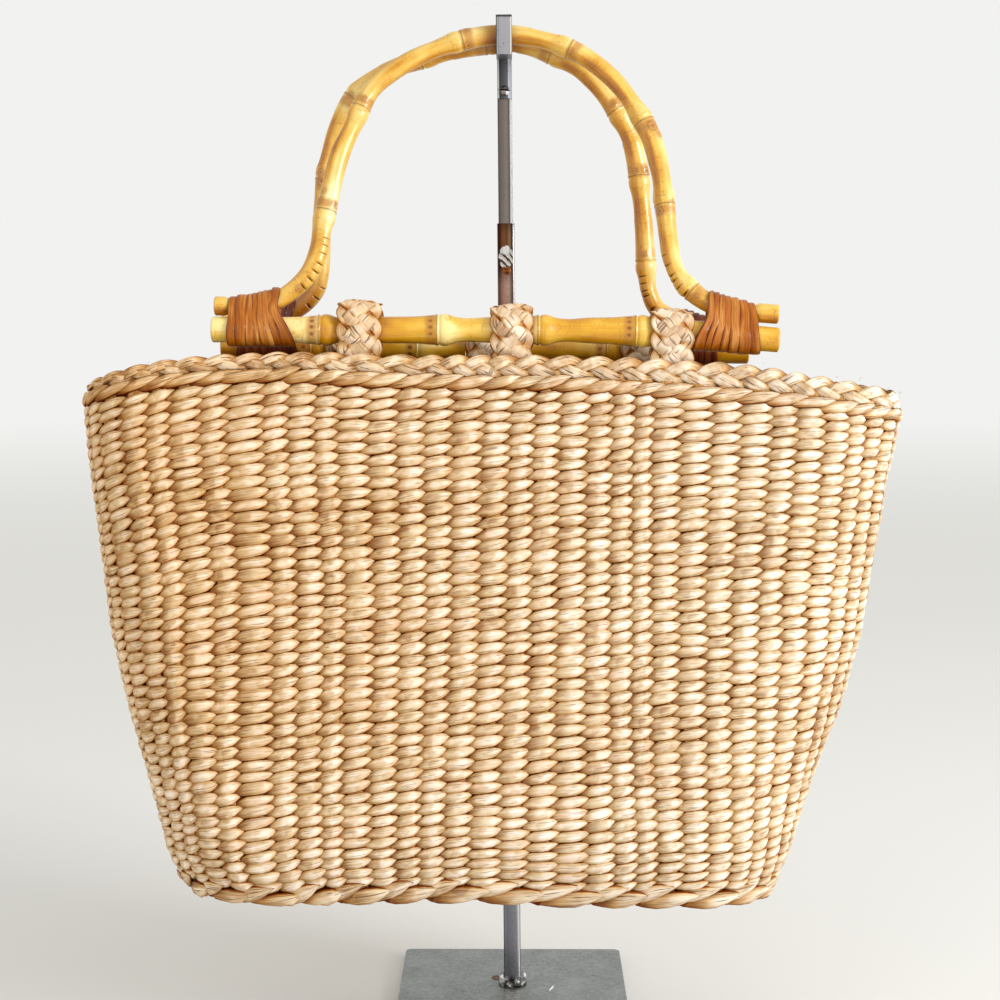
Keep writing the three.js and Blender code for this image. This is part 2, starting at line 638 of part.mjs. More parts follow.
function stand() {
  const group = new THREE.Group();
  const plate = extruded(roundedSquare(PLATE, PLATE_CORNER), PLATE_THICK, 5);
  group.add(mesh('base_plate', plate, zinc));
  const post = new THREE.Group();
  post.rotation.y = -LEAN;
  post.add(postCollar(), postTube(), postBar(), hook(), hookScrew(), thumbScrew());
  group.add(post);
  return group;
}

const whole = new THREE.Group();
whole.add(bag(), stand());
export default whole;
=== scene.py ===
"""Blender looks for a straw basket bag with bamboo handles on a small metal stand.

Shapes are worked out in millimetres with numpy, in the frame of the CAD model: +Z is up,
the bag's front faces -Y and the origin is the middle of the stand's base plate. A mesh is
in metres. A strand or cane is a tube: rings of points along a path, closed at both ends.
"""
import math

import bpy
import numpy as np
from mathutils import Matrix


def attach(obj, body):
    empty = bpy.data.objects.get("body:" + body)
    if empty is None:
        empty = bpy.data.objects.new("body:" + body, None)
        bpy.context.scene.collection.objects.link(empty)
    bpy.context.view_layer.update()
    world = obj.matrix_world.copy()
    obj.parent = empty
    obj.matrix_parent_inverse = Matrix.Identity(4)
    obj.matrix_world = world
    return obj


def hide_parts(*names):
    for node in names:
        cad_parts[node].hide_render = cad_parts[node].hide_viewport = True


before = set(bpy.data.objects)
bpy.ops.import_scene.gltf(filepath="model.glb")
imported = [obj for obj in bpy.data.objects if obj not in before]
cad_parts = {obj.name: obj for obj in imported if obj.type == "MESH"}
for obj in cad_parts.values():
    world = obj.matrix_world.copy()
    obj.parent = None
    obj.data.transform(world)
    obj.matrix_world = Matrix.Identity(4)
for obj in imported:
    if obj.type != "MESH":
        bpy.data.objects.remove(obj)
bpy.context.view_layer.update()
rng = np.random.default_rng(23)

MM = 0.001
TAU = 2 * math.pi

# The basket's outer face: a rounded rectangle at each level. Columns: height, half width,
# half depth, the middle's x and y, how far the corners reach in at left, at right and
# along the depth, and how far the front bulges
LEVELS = np.array([
    (88, 148, 69, -17.5, -79, 44, 52, 44, 0),
    (98, 153, 72.5, -18, -80, 46, 55, 46, 1),
    (110, 158.6, 74.5, -18, -81.5, 48, 58, 48, 2),
    (125, 162.4, 74, -17.3, -81.3, 48, 60, 50, 3),
    (150, 171.2, 70.5, -16.9, -78, 47, 61, 52, 4),
    (180, 183.4, 65, -15.4, -72.5, 46, 62, 52, 5),
    (220, 195.2, 58.5, -14, -66.2, 44, 62, 50, 5),
    (260, 202.4, 51.5, -13.2, -59.7, 41, 61, 46, 5),
    (300, 209.8, 43.5, -12.8, -52.2, 38, 60, 41, 3),
    (328, 215.3, 38.5, -11.3, -47.7, 36, 60, 37, 2),
    (346, 214, 36.5, -10.4, -46, 34, 58, 35, 1),
    (352, 213, 36, -10, -45.5, 34, 58, 35, 1),
])
RIM_TOP = 346
WALL_FOOT = 97
FRONT_RISE = 17
BACK_RISE = 6
BASE_TILT = 5
ROLL = 0.011
WALL = 5.0
POST_LEAN = 0.0092

BRAID_HEIGHT = 10.6
RIGHT_DROP = 3.2
WALE_HEIGHT = 9.4
HEM_HEIGHT = 11.0
WALE_LEVEL = RIM_TOP - 10.7
ROWS_TOP = RIM_TOP - 14.2
HEM_LEVEL = WALL_FOOT - 4.5

# Twined rows and columns. The stakes stand unevenly: these are the widths in millimetres
# of the columns on the front, from the left end to the right one
ROWS = 44
FRONT_WIDTHS = (16.0, 13.0, 10.4, 14.7, 11.4, 17.0, 12.2, 13.0, 10.4, 14.7, 13.2, 12.7, 12.3,
                13.7, 13.6, 12.3, 12.8, 14.2, 12.4, 10.9, 9.6, 13.0, 13.8, 12.9, 13.7, 12.1,
                14.3, 14.6, 11.6, 13.4, 15.8)
FRONT_START = -188.4
GIRTH = 931.5
BACK_COLUMNS = 40


def bell(values, middle, reach):
    """A bell curve: 1 at the middle and 1/e at its reach on either side."""
    return np.exp(-((values - middle) / reach) ** 2)


def eased(share):
    """A share from 0 to 1 with a soft start and end: 3 s^2 - 2 s^3."""
    return share * share * (3 - 2 * share)


def unit(vectors):
    return vectors / np.maximum(np.linalg.norm(vectors, axis=-1, keepdims=True), 1e-9)


def lengths(line):
    """Length walked along a line up to each of its points."""
    return np.concatenate([[0], np.cumsum(np.linalg.norm(np.diff(line, axis=0), axis=1))])


def at_lengths(line, walked, goal):
    """The points of a line after these lengths."""
    return np.stack([np.interp(goal, walked, column) for column in line.T], 1)


def smooth(values, reach):
    """A running mean over rows of a table: each row becomes the mean of its neighbours."""
    padded = np.concatenate([values[:1].repeat(reach, 0), values, values[-1:].repeat(reach, 0)])
    kernel = np.ones(2 * reach + 1) / (2 * reach + 1)
    return np.apply_along_axis(lambda column: np.convolve(column, kernel, "valid"), 0, padded)


def level_rise(z, x, across, ahead):
    """How far a point stands above its level: the handles lift the rim's middle, the base
    tilts to the front and the bag rolls a little."""
    share = np.clip((z - WALL_FOOT) / (RIM_TOP - WALL_FOOT), 0, 1)
    lift = np.where(ahead > 0, FRONT_RISE, BACK_RISE)
    power = np.where(across < 0, 5.5, 4)
    arch = lift * share ** 1.2 * (1 - np.abs(across) ** power)
    return arch * np.minimum(1, np.abs(ahead) * 2) + BASE_TILT * (1 - share) * ahead - ROLL * x


def level_outline(row, count):
    """Points a steady distance apart round one level, from mid front towards +X: four
    elliptical corners joined by straight sides, the front bulged by a parabola."""
    z, width, depth, x0, y0, left, right, reach, crown = row
    deep = min(reach, depth)
    turns = np.linspace(0, math.pi / 2, 25)
    parts = [np.array([[0.0, -depth]])]
    for sx, sy, start, corner in ((1, -1, -1, right), (1, 1, 0, right), (-1, 1, 1, left),
                                  (-1, -1, 2, left)):
        turn = start * math.pi / 2 + turns
        parts.append(np.stack([sx * (width - corner) + corner * np.cos(turn),
                               sy * (depth - deep) + deep * np.sin(turn)], 1))
    parts.append(parts[0])
    line = np.concatenate(parts)
    line[:, 1] -= crown * np.maximum(0, -line[:, 1] / depth) * (1 - (line[:, 0] / width) ** 2)
    walked = lengths(line)
    x, y = at_lengths(line, walked, walked[-1] * np.arange(count + 1) / count).T
    up = level_rise(z, x, x / width, -y / depth)
    return np.stack([x + x0, y + y0, z + up], 1)


AROUND = 720
LEVEL_STEP = 3.0


def level_rows(heights):
    """The measures of LEVELS at other heights, with their kinks smoothed away."""
    rows = np.stack([np.interp(heights, LEVELS[:, 0], column) for column in LEVELS.T], 1)
    rows[:, 1:] = smooth(rows[:, 1:], 2)
    return rows


def wall_grid():
    """The outer face as a grid of points, level by level, and its outward normals, from
    the cross product of the steps round and up."""
    heights = np.arange(LEVELS[0, 0], LEVELS[-1, 0] + 0.1, LEVEL_STEP)
    points = np.stack([level_outline(row, AROUND) for row in level_rows(heights)])
    loop = np.concatenate([points[:, -2:-1], points, points[:, 1:2]], 1)
    forward = loop[:, 2:] - loop[:, :-2]
    upward = np.gradient(points, axis=0)
    normals = np.cross(forward, upward)
    normals /= np.linalg.norm(normals, axis=2, keepdims=True)
    return points, normals


WALL_POINTS, WALL_NORMALS = wall_grid()


def wall_point(around, level, out=0.0):
    """A point of the wall: a blend of the four nearest grid points at this share of the
    way round and this level, moved out along the normal."""
    around, level, out = np.broadcast_arrays(around, level, out)
    column = (around % 1.0) * AROUND
    row = np.clip((level - LEVELS[0, 0]) / LEVEL_STEP, 0, len(WALL_POINTS) - 1.001)
    i, j = row.astype(int), column.astype(int)
    a, b = (row - i)[..., None], (column - j)[..., None]
    corners = ((i, j, (1 - a) * (1 - b)), (i + 1, j, a * (1 - b)), (i, j + 1, (1 - a) * b),
               (i + 1, j + 1, a * b))
    point = sum(WALL_POINTS[r, c] * share for r, c, share in corners)
    normal = sum(WALL_NORMALS[r, c] * share for r, c, share in corners)
    return point + normal * out[..., None]


def column_places():
    """Share of the way round of each column's edge: the measured widths on the front, then
    the back's columns, each a little wider or narrower than the mean."""
    front = FRONT_START + np.concatenate([[0], np.cumsum(FRONT_WIDTHS)])
    widths = 1 + 0.16 * rng.uniform(-1, 1, BACK_COLUMNS)
    widths *= (GIRTH + FRONT_START - front[-1]) / widths.sum()
    return np.concatenate([front, front[-1] + np.cumsum(widths)]) / GIRTH


PLACES = column_places()
COLUMNS = len(PLACES) - 1


def from_front(around):
    """Share of the way round counted from mid front: 0.5 leftwards is -0.5."""
    return (around + 0.5) % 1.0 - 0.5


def column_at(column, level):
    """Share of the way round at a column, which may lie between two. The front's columns
    spread at both ends of the rim and at the foot's right, and are wide round the left
    corner."""
    turns = np.floor(column / COLUMNS)
    place = np.interp(column - turns * COLUMNS, np.arange(COLUMNS + 1), PLACES) + turns
    wave = np.sin(2 * TAU * place)
    at_foot = np.where((np.cos(TAU * place) > 0) & (wave > 0), 0.26, 0.03)
    spread = np.interp(level, (WALL_FOOT, 185, 235), (1.0, 0.17, 0.0)) * at_foot
    at_rim = np.interp(from_front(place), (-0.02, 0.02, 0.09, 0.17), (0.12, 0.0, 0.0, 0.12))
    spread = spread + np.interp(level, (235, 310), (0.0, 1.0)) * at_rim
    corner = np.interp(place % 1.0, (0.62, 0.79, 0.885), (0.0, -1.0, 0.0))
    fan = corner * np.interp(level, (235, 310), (0.004, 0.012))
    return place + spread * wave / (2 * TAU) + fan


def right_end(around):
    """1 at the rim's right end, where the plait is broader, and 0 from mid front leftwards."""
    share = around % 1.0
    rise = np.clip((share - 0.03) / 0.09, 0, 1)
    fall = np.clip((0.42 - share) / 0.12, 0, 1)
    return eased(rise) * eased(fall)


def broad_plait(around):
    """1 where the rim's plait is broad, from left of mid front to near the right end, and
    0 elsewhere."""
    ends = (-0.12, -0.04, 0.185, 0.235)
    return eased(np.interp(from_front(around), ends, (0.0, 1.0, 1.0, 0.0)))


def foot_sag(around):
    """How far the foot's edge hangs down, as a sum of bell curves: most a little left of mid
    front, and it is drawn up in the middle and at the right."""
    place = from_front(around)
    sag = 3.4 * bell(place, -0.128, 0.03)
    return sag - 2.8 * bell(place, -0.012, 0.055) - 0.9 * bell(place, 0.115, 0.04)


# Meshes

def new_mesh(name, points, faces, uvs, marks, material):
    """A mesh from arrays: points in mm, faces as one array of corner indices for each face
    size, a UV for each corner, and named numbers for each point. All the faces are turned
    over if they enclose a negative volume."""
    volume = 0.0
    for part in faces:
        for k in range(1, part.shape[1] - 1):
            a, b, c = points[part[:, 0]], points[part[:, k]], points[part[:, k + 1]]
            volume += np.einsum("ij,ij->", a - points[0], np.cross(b - points[0], c - points[0]))
    if volume < 0:
        faces = [part[:, ::-1] for part in faces]
        uvs = [part[:, ::-1] for part in uvs]
    mesh = bpy.data.meshes.new(name)
    mesh.vertices.add(len(points))
    mesh.vertices.foreach_set("co", (points * MM).astype(np.float32).ravel())
    sizes = np.concatenate([np.full(len(part), part.shape[1]) for part in faces])
    corners = np.concatenate([part.ravel() for part in faces])
    mesh.loops.add(len(corners))
    mesh.loops.foreach_set("vertex_index", corners.astype(np.int32))
    mesh.polygons.add(len(sizes))
    starts = np.concatenate([[0], np.cumsum(sizes)[:-1]])
    mesh.polygons.foreach_set("loop_start", starts.astype(np.int32))
    mesh.update(calc_edges=True)
    layer = mesh.uv_layers.new(name="along_across")
    values = np.concatenate([part.ravel() for part in uvs])
    layer.data.foreach_set("uv", values.astype(np.float32))
    for key, values in marks.items():
        attribute = mesh.attributes.new(key, "FLOAT", "POINT")
        attribute.data.foreach_set("value", values.astype(np.float32).ravel())
    mesh.shade_smooth()
    mesh.materials.append(material)
    piece = bpy.data.objects.new(name, mesh)
    bpy.context.collection.objects.link(piece)
    return piece


def tubes(name, rings, material, marks=None, ends=None, along=None, loop=False):
    """Closed tubes from rings, an array of tubes x rings x points x 3. Neighbouring rings
    are joined by quads. A tube's ends are closed by fans to a pole, which is given in ends
    or is the middle of the end ring, or the last ring meets the first. UV: length along
    the tube and share of the way round its ring."""
    count, long, wide = rings.shape[:3]
    marks = marks or {}
    if along is None:
        along = np.linspace(0, 1, long)
    along = np.broadcast_to(along, (count, long))
    body = count * long * wide
    index = np.arange(body).reshape(count, long, wide)
    around = np.roll(index, -1, 2)
    span = long if loop else long - 1
    ahead = np.roll(index, -1, 1)[:, :span]
    quads = [index[:, :span], ahead, np.roll(ahead, -1, 2), around[:, :span]]
    step = along[:, 1] - along[:, 0]
    later = np.concatenate([along[:, 1:], (along[:, -1] + step)[:, None]], 1)[:, :span]
    u0, u1 = (np.broadcast_to(a[:, :span, None], quads[0].shape) for a in (along, later))
    v0 = np.broadcast_to(np.arange(wide) / wide, u0.shape)
    v1 = v0 + 1 / wide
    faces = [np.stack(quads, -1).reshape(-1, 4)]
    uvs = [np.stack([u0, v0, u1, v0, u1, v1, u0, v1], -1).reshape(-1, 4, 2)]
    points = [rings.reshape(-1, 3)]
    full = {key: np.broadcast_to(value, (count, long, wide)) for key, value in marks.items()}
    values = {key: [value.reshape(-1)] for key, value in full.items()}
    if not loop:
        if ends is None:
            ends = np.stack([rings[:, 0].mean(1), rings[:, -1].mean(1)], 1)
        points.append(ends.reshape(-1, 3))
        poles = body + np.arange(2 * count).reshape(count, 2)
        for which, row in ((0, 0), (1, long - 1)):
            pole = np.broadcast_to(poles[:, which, None], (count, wide))
            u = np.broadcast_to(along[:, row, None], (count, wide))
            v = np.broadcast_to(np.arange(wide) / wide, (count, wide))
            fan = [pole, index[:, row], around[:, row]]
            fan_uv = [(u, v + 0.5 / wide), (u, v), (u, v + 1 / wide)]
            if which == 1:
                fan, fan_uv = [fan[0], fan[2], fan[1]], [fan_uv[0], fan_uv[2], fan_uv[1]]
            faces.append(np.stack(fan, -1).reshape(-1, 3))
            uvs.append(np.stack([np.stack(pair, -1) for pair in fan_uv], -2).reshape(-1, 3, 2))
        for key, value in full.items():
            values[key].append(np.stack([value[:, 0, 0], value[:, -1, 0]], 1).reshape(-1))
    values = {key: np.concatenate(parts) for key, parts in values.items()}
    return new_mesh(name, np.concatenate(points), faces, uvs, values, material)


def ribbon_rings(path, side_hint, width, thick, corners=10, loop=False, belly=2.6):
    """Rings of a flat strand along paths, an array of tubes x stations x 3: an oval whose
    powers make its flanks rounder. The width lies across the path and square to side_hint.
    width and thick are half sizes and may change along the path."""
    if loop:
        ahead = np.roll(path, -1, 1) - np.roll(path, 1, 1)
    else:
        ahead = np.gradient(path, axis=1)
    ahead = unit(ahead)
    wide = unit(np.cross(side_hint, ahead))
    deep = np.cross(ahead, wide)
    turn = TAU * np.arange(corners) / corners
    across = np.sign(np.cos(turn)) * np.abs(np.cos(turn)) ** (2 / belly)
    height = np.sign(np.sin(turn)) * np.abs(np.sin(turn)) ** (2 / belly)
    width = np.broadcast_to(width, path.shape[:2])[..., None, None]
    thick = np.broadcast_to(thick, path.shape[:2])[..., None, None]
    return (path[:, :, None] + wide[:, :, None] * width * across[:, None]
            + deep[:, :, None] * thick * height[:, None])


def edge_shade(corners):
    """1 at both edges of a flat strand's section and 0 on its faces."""
    turn = TAU * np.arange(corners) / corners
    return (1 - np.abs(np.sin(turn))) ** 1.5


def dress(piece, slot, *nodes):
    """Puts a piece on the one body, in the place of these CAD nodes."""
    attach(piece, "root")
    if nodes:
        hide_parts(*nodes)
    return piece


# Shader maths

class Number:
    """A number that varies over a surface. Sums and products written with it become nodes."""

    def __init__(self, finish, socket):
        self.finish = finish
        self.socket = socket

    def maths(self, operation, *others, clamp=False):
        settings = {"operation": operation, "use_clamp": clamp}
        inputs = dict(enumerate((self, *others)))
        return Number(self.finish, self.finish.node("ShaderNodeMath", settings, inputs).outputs[0])

    def __add__(self, other):
        return self.maths("ADD", other)

    __radd__ = __add__

    def __mul__(self, other):
        return self.maths("MULTIPLY", other)

    __rmul__ = __mul__

    def __sub__(self, other):
        return self.maths("SUBTRACT", other)

    def __rsub__(self, other):
        return self.maths("MULTIPLY", -1).maths("ADD", other)

    def __truediv__(self, other):
        return self.maths("DIVIDE", other)

    def __abs__(self):
        return self.maths("ABSOLUTE")

    def between(self, low, high):
        """0 at low, 1 at high and a straight line in between, held at both ends."""
        node = self.finish.node("ShaderNodeMapRange", {"clamp": True},
                                {0: self, 1: low, 2: high, 3: 0.0, 4: 1.0})
        return Number(self.finish, node.outputs[0])


def distance(x, y):
    """How far two numbers lie from zero together: the root of the sum of their squares."""
    return (x * x + y * y).maths("SQRT")


def linear(colour):
    """A colour written as six hex digits, as the linear numbers that shaders use."""
    parts = [int(colour[i:i + 2], 16) / 255 for i in (0, 2, 4)]
    return [p / 12.92 if p <= 0.04045 else ((p + 0.055) / 1.055) ** 2.4 for p in parts] + [1.0]


class Finish:
    """One material under construction."""

    def __init__(self, name):
        self.material = bpy.data.materials.new(name)
        self.material.use_nodes = True
        self.tree = self.material.node_tree
        self.tree.nodes.clear()

    def node(self, kind, settings=None, inputs=None):
        node = self.tree.nodes.new(kind)
        for key, value in (settings or {}).items():
            if key == "stops":
                self.set_stops(node.color_ramp, value)
            else:
                setattr(node, key, value)
        for key, value in (inputs or {}).items():
            socket = node.inputs[key]
            if isinstance(value, Number):
                self.tree.links.new(value.socket, socket)
            elif isinstance(value, bpy.types.NodeSocket):
                self.tree.links.new(value, socket)
            else:
                socket.default_value = value
        return node

    @staticmethod
    def set_stops(ramp, stops):
        while len(ramp.elements) < len(stops):
            ramp.elements.new(0.5)
        for element, (place, colour) in zip(ramp.elements, stops):
            element.position = place
            element.color = linear(colour)

    def mark(self, name):
        """A number that the mesh holds for each point."""
        node = self.node("ShaderNodeAttribute", {"attribute_name": name})
        return Number(self, node.outputs["Fac"])

    def object_place(self, stretch=(1, 1, 1)):
        """Object coordinates in metres, stretched."""
        place = self.node("ShaderNodeTexCoord").outputs["Object"]
        inputs = {0: place, 1: stretch}
        return self.node("ShaderNodeVectorMath", {"operation": "MULTIPLY"}, inputs).outputs[0]

    def parts(self, vector):
        """The three numbers of a vector."""
        outputs = self.node("ShaderNodeSeparateXYZ", None, {0: vector}).outputs
        return [Number(self, output) for output in outputs]

    def along_across(self):
        """The UV map as two numbers: length along a strand and share of the way round it."""
        uv = self.node("ShaderNodeUVMap", {"uv_map": "along_across"}).outputs[0]
        return self.parts(uv)[:2]

    def join(self, x, y, z=0.0):
        return self.node("ShaderNodeCombineXYZ", None, {0: x, 1: y, 2: z}).outputs[0]

    def noise(self, place, scale, detail=2.0, rough=0.5):
        inputs = {"Vector": place, "Scale": scale, "Detail": detail, "Roughness": rough}
        node = self.node("ShaderNodeTexNoise", {"noise_dimensions": "3D"}, inputs)
        return Number(self, node.outputs["Fac"])

    def grain(self, x, y, z=0.0, detail=2.0, rough=0.5):
        """Noise on numbers that are stretched already."""
        return self.noise(self.join(x, y, z), 1.0, detail, rough)

    def spots(self, place, scale):
        """Distance to the nearest of scattered points."""
        inputs = {"Vector": place, "Scale": scale}
        return Number(self, self.node("ShaderNodeTexVoronoi", None, inputs).outputs["Distance"])

    def ramp(self, factor, *stops):
        return self.node("ShaderNodeValToRGB", {"stops": stops}, {0: factor}).outputs[0]

    def mix(self, factor, first, second, blend="MIX"):
        settings = {"data_type": "RGBA", "blend_type": blend}
        node = self.node("ShaderNodeMix", settings, {0: factor, 6: first, 7: second})
        return node.outputs[2]

    def layer(self, colour, *layers):
        """Lays plain colours over a colour, one after the other, each where its mask is 1."""
        for mask, tint in layers:
            colour = self.mix(mask, colour, linear(tint))
        return colour

    def bump(self, height, strength, depth):
        inputs = {"Height": height, "Strength": strength, "Distance": depth}
        return self.node("ShaderNodeBump", None, inputs).outputs[0]

    def surface(self, **inputs):
        """Ends the material with one shader. Underscores in a name stand for spaces."""
        named = {key.replace("_", " "): value for key, value in inputs.items()}
        shader = self.node("ShaderNodeBsdfPrincipled", None, named)
        out = self.node("ShaderNodeOutputMaterial")
        self.tree.links.new(shader.outputs[0], out.inputs[0])
        return self.material


# Metres along x over which painted light and shade take the straw from warmer and darker on
# the left, away from the key light, to paler on the right, towards it
LIT_SIDE_REACH = (-0.21, 0.19)


def straw_finish(name, dark, middle, light, pink, painted_tail_shade, rough, furrows=1.0):
    """Dried leaf: fibres along the strand, a tone and a hue for each stitch, random facets of
    painted light and shade, painted shade on the tail end that tucks under its neighbour,
    fine cracks, painted light that makes the straw paler towards the key light and warmer
    and darker away from it, and painted brown shade in the creases where it lies deep."""
    finish = Finish(name)
    along, across = finish.along_across()
    tone = finish.mark("tone")
    seed = finish.mark("seed") * 40.0
    length = finish.mark("run")
    fibres = finish.grain(length * 0.07, across * 19.0, seed, 3.0, 0.7)
    streaks = finish.grain(length * 0.05, across * 6.0, seed + 9.0)
    patch = finish.grain(length * 0.17, across * 2.2, seed + 5.0, 1.0)
    blotch = finish.noise(finish.object_place(), 24.0)
    # Random steps of painted light and shade, for the lit and shaded facets of folded straw
    facet_light = finish.grain(length * 0.22, across * 3.0, seed + 7.0, 0.0)
    level = (0.595 + tone * 0.26 + (fibres - 0.5) * 0.8 * furrows + (streaks - 0.5) * 0.6
             + (blotch - 0.5) * 0.4 + (patch - 0.5) * 0.7 + (facet_light.between(0.44, 0.54) - 0.5) * 0.2)
    # Painted shade: the tail end of a stitch, tucked under its neighbour, darker than its tip
    level = level + (along.between(0.05, 0.8) - 0.7) * painted_tail_shade
    colour = finish.ramp(level, (0.0, dark), (0.45, middle), (0.9, light))
    blush = (finish.mark("hue") * 0.35 + (patch - 0.4) * 0.8).maths("MAXIMUM", 0.0)
    colour = finish.mix(blush, colour, linear(pink), "MULTIPLY")
    cracks = finish.grain(length * 0.12, across * 30.0, seed + 3.0, 1.0).between(0.62, 0.7)
    colour = finish.layer(colour, (cracks * 0.65 * furrows, "70421A"))
    # Painted light and shade: warmer and darker away from the key light on the left, less so near
    # the bottom, and paler towards it on the right and a little paler at the bottom
    x, _, z = finish.parts(finish.object_place())
    lit_side = x.between(*LIT_SIDE_REACH)
    high = z.between(0.05, 0.2)
    colour = finish.mix((1.0 - lit_side) * (0.4 + high * 0.6), colour, linear("F9E7CE"), "MULTIPLY")
    colour = finish.mix(lit_side * 0.11 + (1.0 - high) * 0.05, colour, linear("FFFFFF"))
    # Painted shade: brown where the straw lies deep, in creases and between stitches
    crease_shade = finish.ramp(finish.mark("deep"), (0.06, "FFFFFF"), (0.22, "EFE3CB"), (0.38, "DCC19A"),
                       (0.54, "C0945C"), (0.7, "9A4A04"))
    colour = finish.mix(1.0, colour, crease_shade, "MULTIPLY")
    height = fibres * 0.7 + streaks * 0.9 - cracks * 0.8
    return finish.surface(
        Base_Color=colour,
        Roughness=rough + (fibres - 0.5) * 0.3,
        Normal=finish.bump(height, 0.55 * furrows, 0.0007),
        Specular_IOR_Level=0.06,
    )


def core_finish():
    """What shows deep between the stitches: straw painted dark brown as painted shade."""
    finish = Finish("straw_core")
    patches = finish.noise(finish.object_place(), 300.0, 2.0, 0.6)
    colour = finish.ramp(patches, (0.3, "4A2004"), (0.75, "8A4E14"))
    return finish.surface(Base_Color=colour, Roughness=0.85,
                          Normal=finish.bump(patches, 0.4, 0.0006))


def bamboo_finish(name, shade_side_share, *stain_stops):
    """Polished bamboo: golden stain pooled in streaks and patches, painted amber shade on the
    side that faces away from the key light, dark amber spots that are partly real stain and
    partly painted shadow, fine lengthwise grain, brown specks, hair cracks across, a band of
    stain beside each joint with its root buds, scars and saw cuts."""
    finish = Finish(name)
    along, across = finish.along_across()
    gap = finish.mark("joint_gap")
    bud_gap = finish.mark("bud_gap")
    scar = finish.mark("scar")
    cut = finish.mark("cut")
    grain = finish.grain(along * 0.03, across * 34.0, 0.0, 3.0, 0.65)
    stain = finish.noise(finish.object_place(), 30.0, 3.0, 0.6)
    cloud = finish.grain(along * 0.035, across * 3.2, 4.0)
    wave = (finish.grain(across * 5.0, along * 0.05) - 0.5) * 2.6
    # Painted shade: the side that faces away from the key light turns amber
    lee = (finish.mark("lee") + (cloud - 0.5) * 0.5).between(-0.38, -0.1)
    level = 0.5 + (grain - 0.5) * 0.5 + (stain - 0.5) * 0.7 + (cloud - 0.5) * 1.2
    level = level + (1.0 - gap.between(5.0, 17.0)) * 0.2 - lee * shade_side_share + finish.mark("tone")
    colour = finish.ramp(level, *stain_stops)
    # Dark amber spots: partly real stain and partly painted shadow where another part shades the
    # cane
    colour = finish.mix(finish.mark("stained"), colour, linear("BB9410"), "MULTIPLY")
    rust = finish.grain(along * 0.6, across * 20.0, 7.0, 3.0, 0.7)
    rust = rust.between(0.5, 0.72) * (1.0 - cloud.between(0.34, 0.5))
    specks = finish.spots(finish.join(along * 0.3, across * 8.0), 1.0)
    crack = ((along + wave * 0.9 + cloud * 17.0) / 6.3).maths("FRACT") - 0.5
    crack = 1.0 - abs(crack).between(0.015, 0.05)
    crack = crack * (grain - cloud + 0.5).between(0.5, 0.62)
    band = 1.0 - (bud_gap + wave).between(1.4, 3.6)
    band = band * stain.between(0.2, 0.5)
    ridge = gap + abs(wave) * 0.3
    line = (1.0 - ridge.between(0.1, 0.7)) * (grain + stain).between(0.7, 1.0)
    part = (across * 13.0 + 0.1 + wave * 0.08).maths("FRACT") - 0.5
    dots = distance(bud_gap / 1.5, part * 2.6) + (stain - 0.5) * 0.8
    facing = 1.0 - abs(across - 0.52).between(0.11, 0.15)
    budded = finish.mark("budded") * facing
    scar = scar + wave * 0.06
    rim = 1.0 - abs(scar - 0.8).between(0.04, 0.2)
    colour = finish.layer(
        colour,
        (rust * 0.7, "A5691E"),
        ((1.0 - specks.between(0.03, 0.08)) * 0.8, "7A4A18"),
        (crack * 0.45, "7A4A12"),
        (band * 0.75, "AE7424"),
        (line * 0.8, "74430F"),
        ((1.0 - dots.between(0.6, 1.5)) * budded * 0.6, "B0701F"),
        ((1.0 - dots.between(0.4, 0.95)) * budded * 0.85, "6E3A0C"),
        ((1.0 - scar.between(0.7, 1.7)) * 0.6, "AE7226"),
        (rim * 0.75 * rust.between(-0.3, 0.4), "6E3C10"),
        ((1.0 - scar.between(0.12, 0.5)) * 0.85, "7A420C"),
        (cut.between(0.25, 0.8), "4A1E06"))
    pores = finish.spots(finish.object_place(), 900.0).between(0.2, 0.5)
    fresh = finish.mix(pores, linear("A8742E"), linear("DDB66C"))
    colour = finish.mix(finish.mark("end_grain"), colour, fresh)
    height = grain * 0.5 - line * 0.8 - rust * 0.5 - crack * 0.4
    return finish.surface(
        Base_Color=colour,
        Roughness=0.33 + (stain - 0.5) * 0.25 + cut * 0.3 + rust * 0.2,
        Normal=finish.bump(height, 0.35, 0.0006),
        Coat_Weight=0.3,
        Coat_Roughness=0.15,
    )


def rattan_finish(name, dark, middle, light):
    """Split cane wound wet and varnished: close parallel fibres, glossy, and painted shade at the
    edges of each turn.
    """
    finish = Finish(name)
    along, across = finish.along_across()
    tone = finish.mark("tone")
    seed = finish.mark("seed") * 30.0
    fibres = finish.grain(along * 0.05, across * 30.0, seed, 3.0, 0.65)
    wide = finish.grain(along * 0.05, across * 5.0, seed + 5.0)
    level = 0.5 + tone * 0.12 + (fibres - 0.5) * 0.9 + (wide - 0.5) * 1.1
    colour = finish.ramp(level, (0.05, dark), (0.5, middle), (0.95, light))
    # Painted shade: darker at the edges of each turn, in the gaps between turns
    deep = finish.mark("deep").between(0.05, 0.7)
    colour = finish.mix(deep, colour, linear("7A2A04"), "MULTIPLY")
    return finish.surface(
        Base_Color=colour,
        Roughness=0.36 + (fibres - 0.5) * 0.3,
        Normal=finish.bump(fibres * 0.8 + wide, 0.6, 0.0007),
        Specular_IOR_Level=0.2,
        Coat_Weight=0.25,
        Coat_Roughness=0.1,
    )


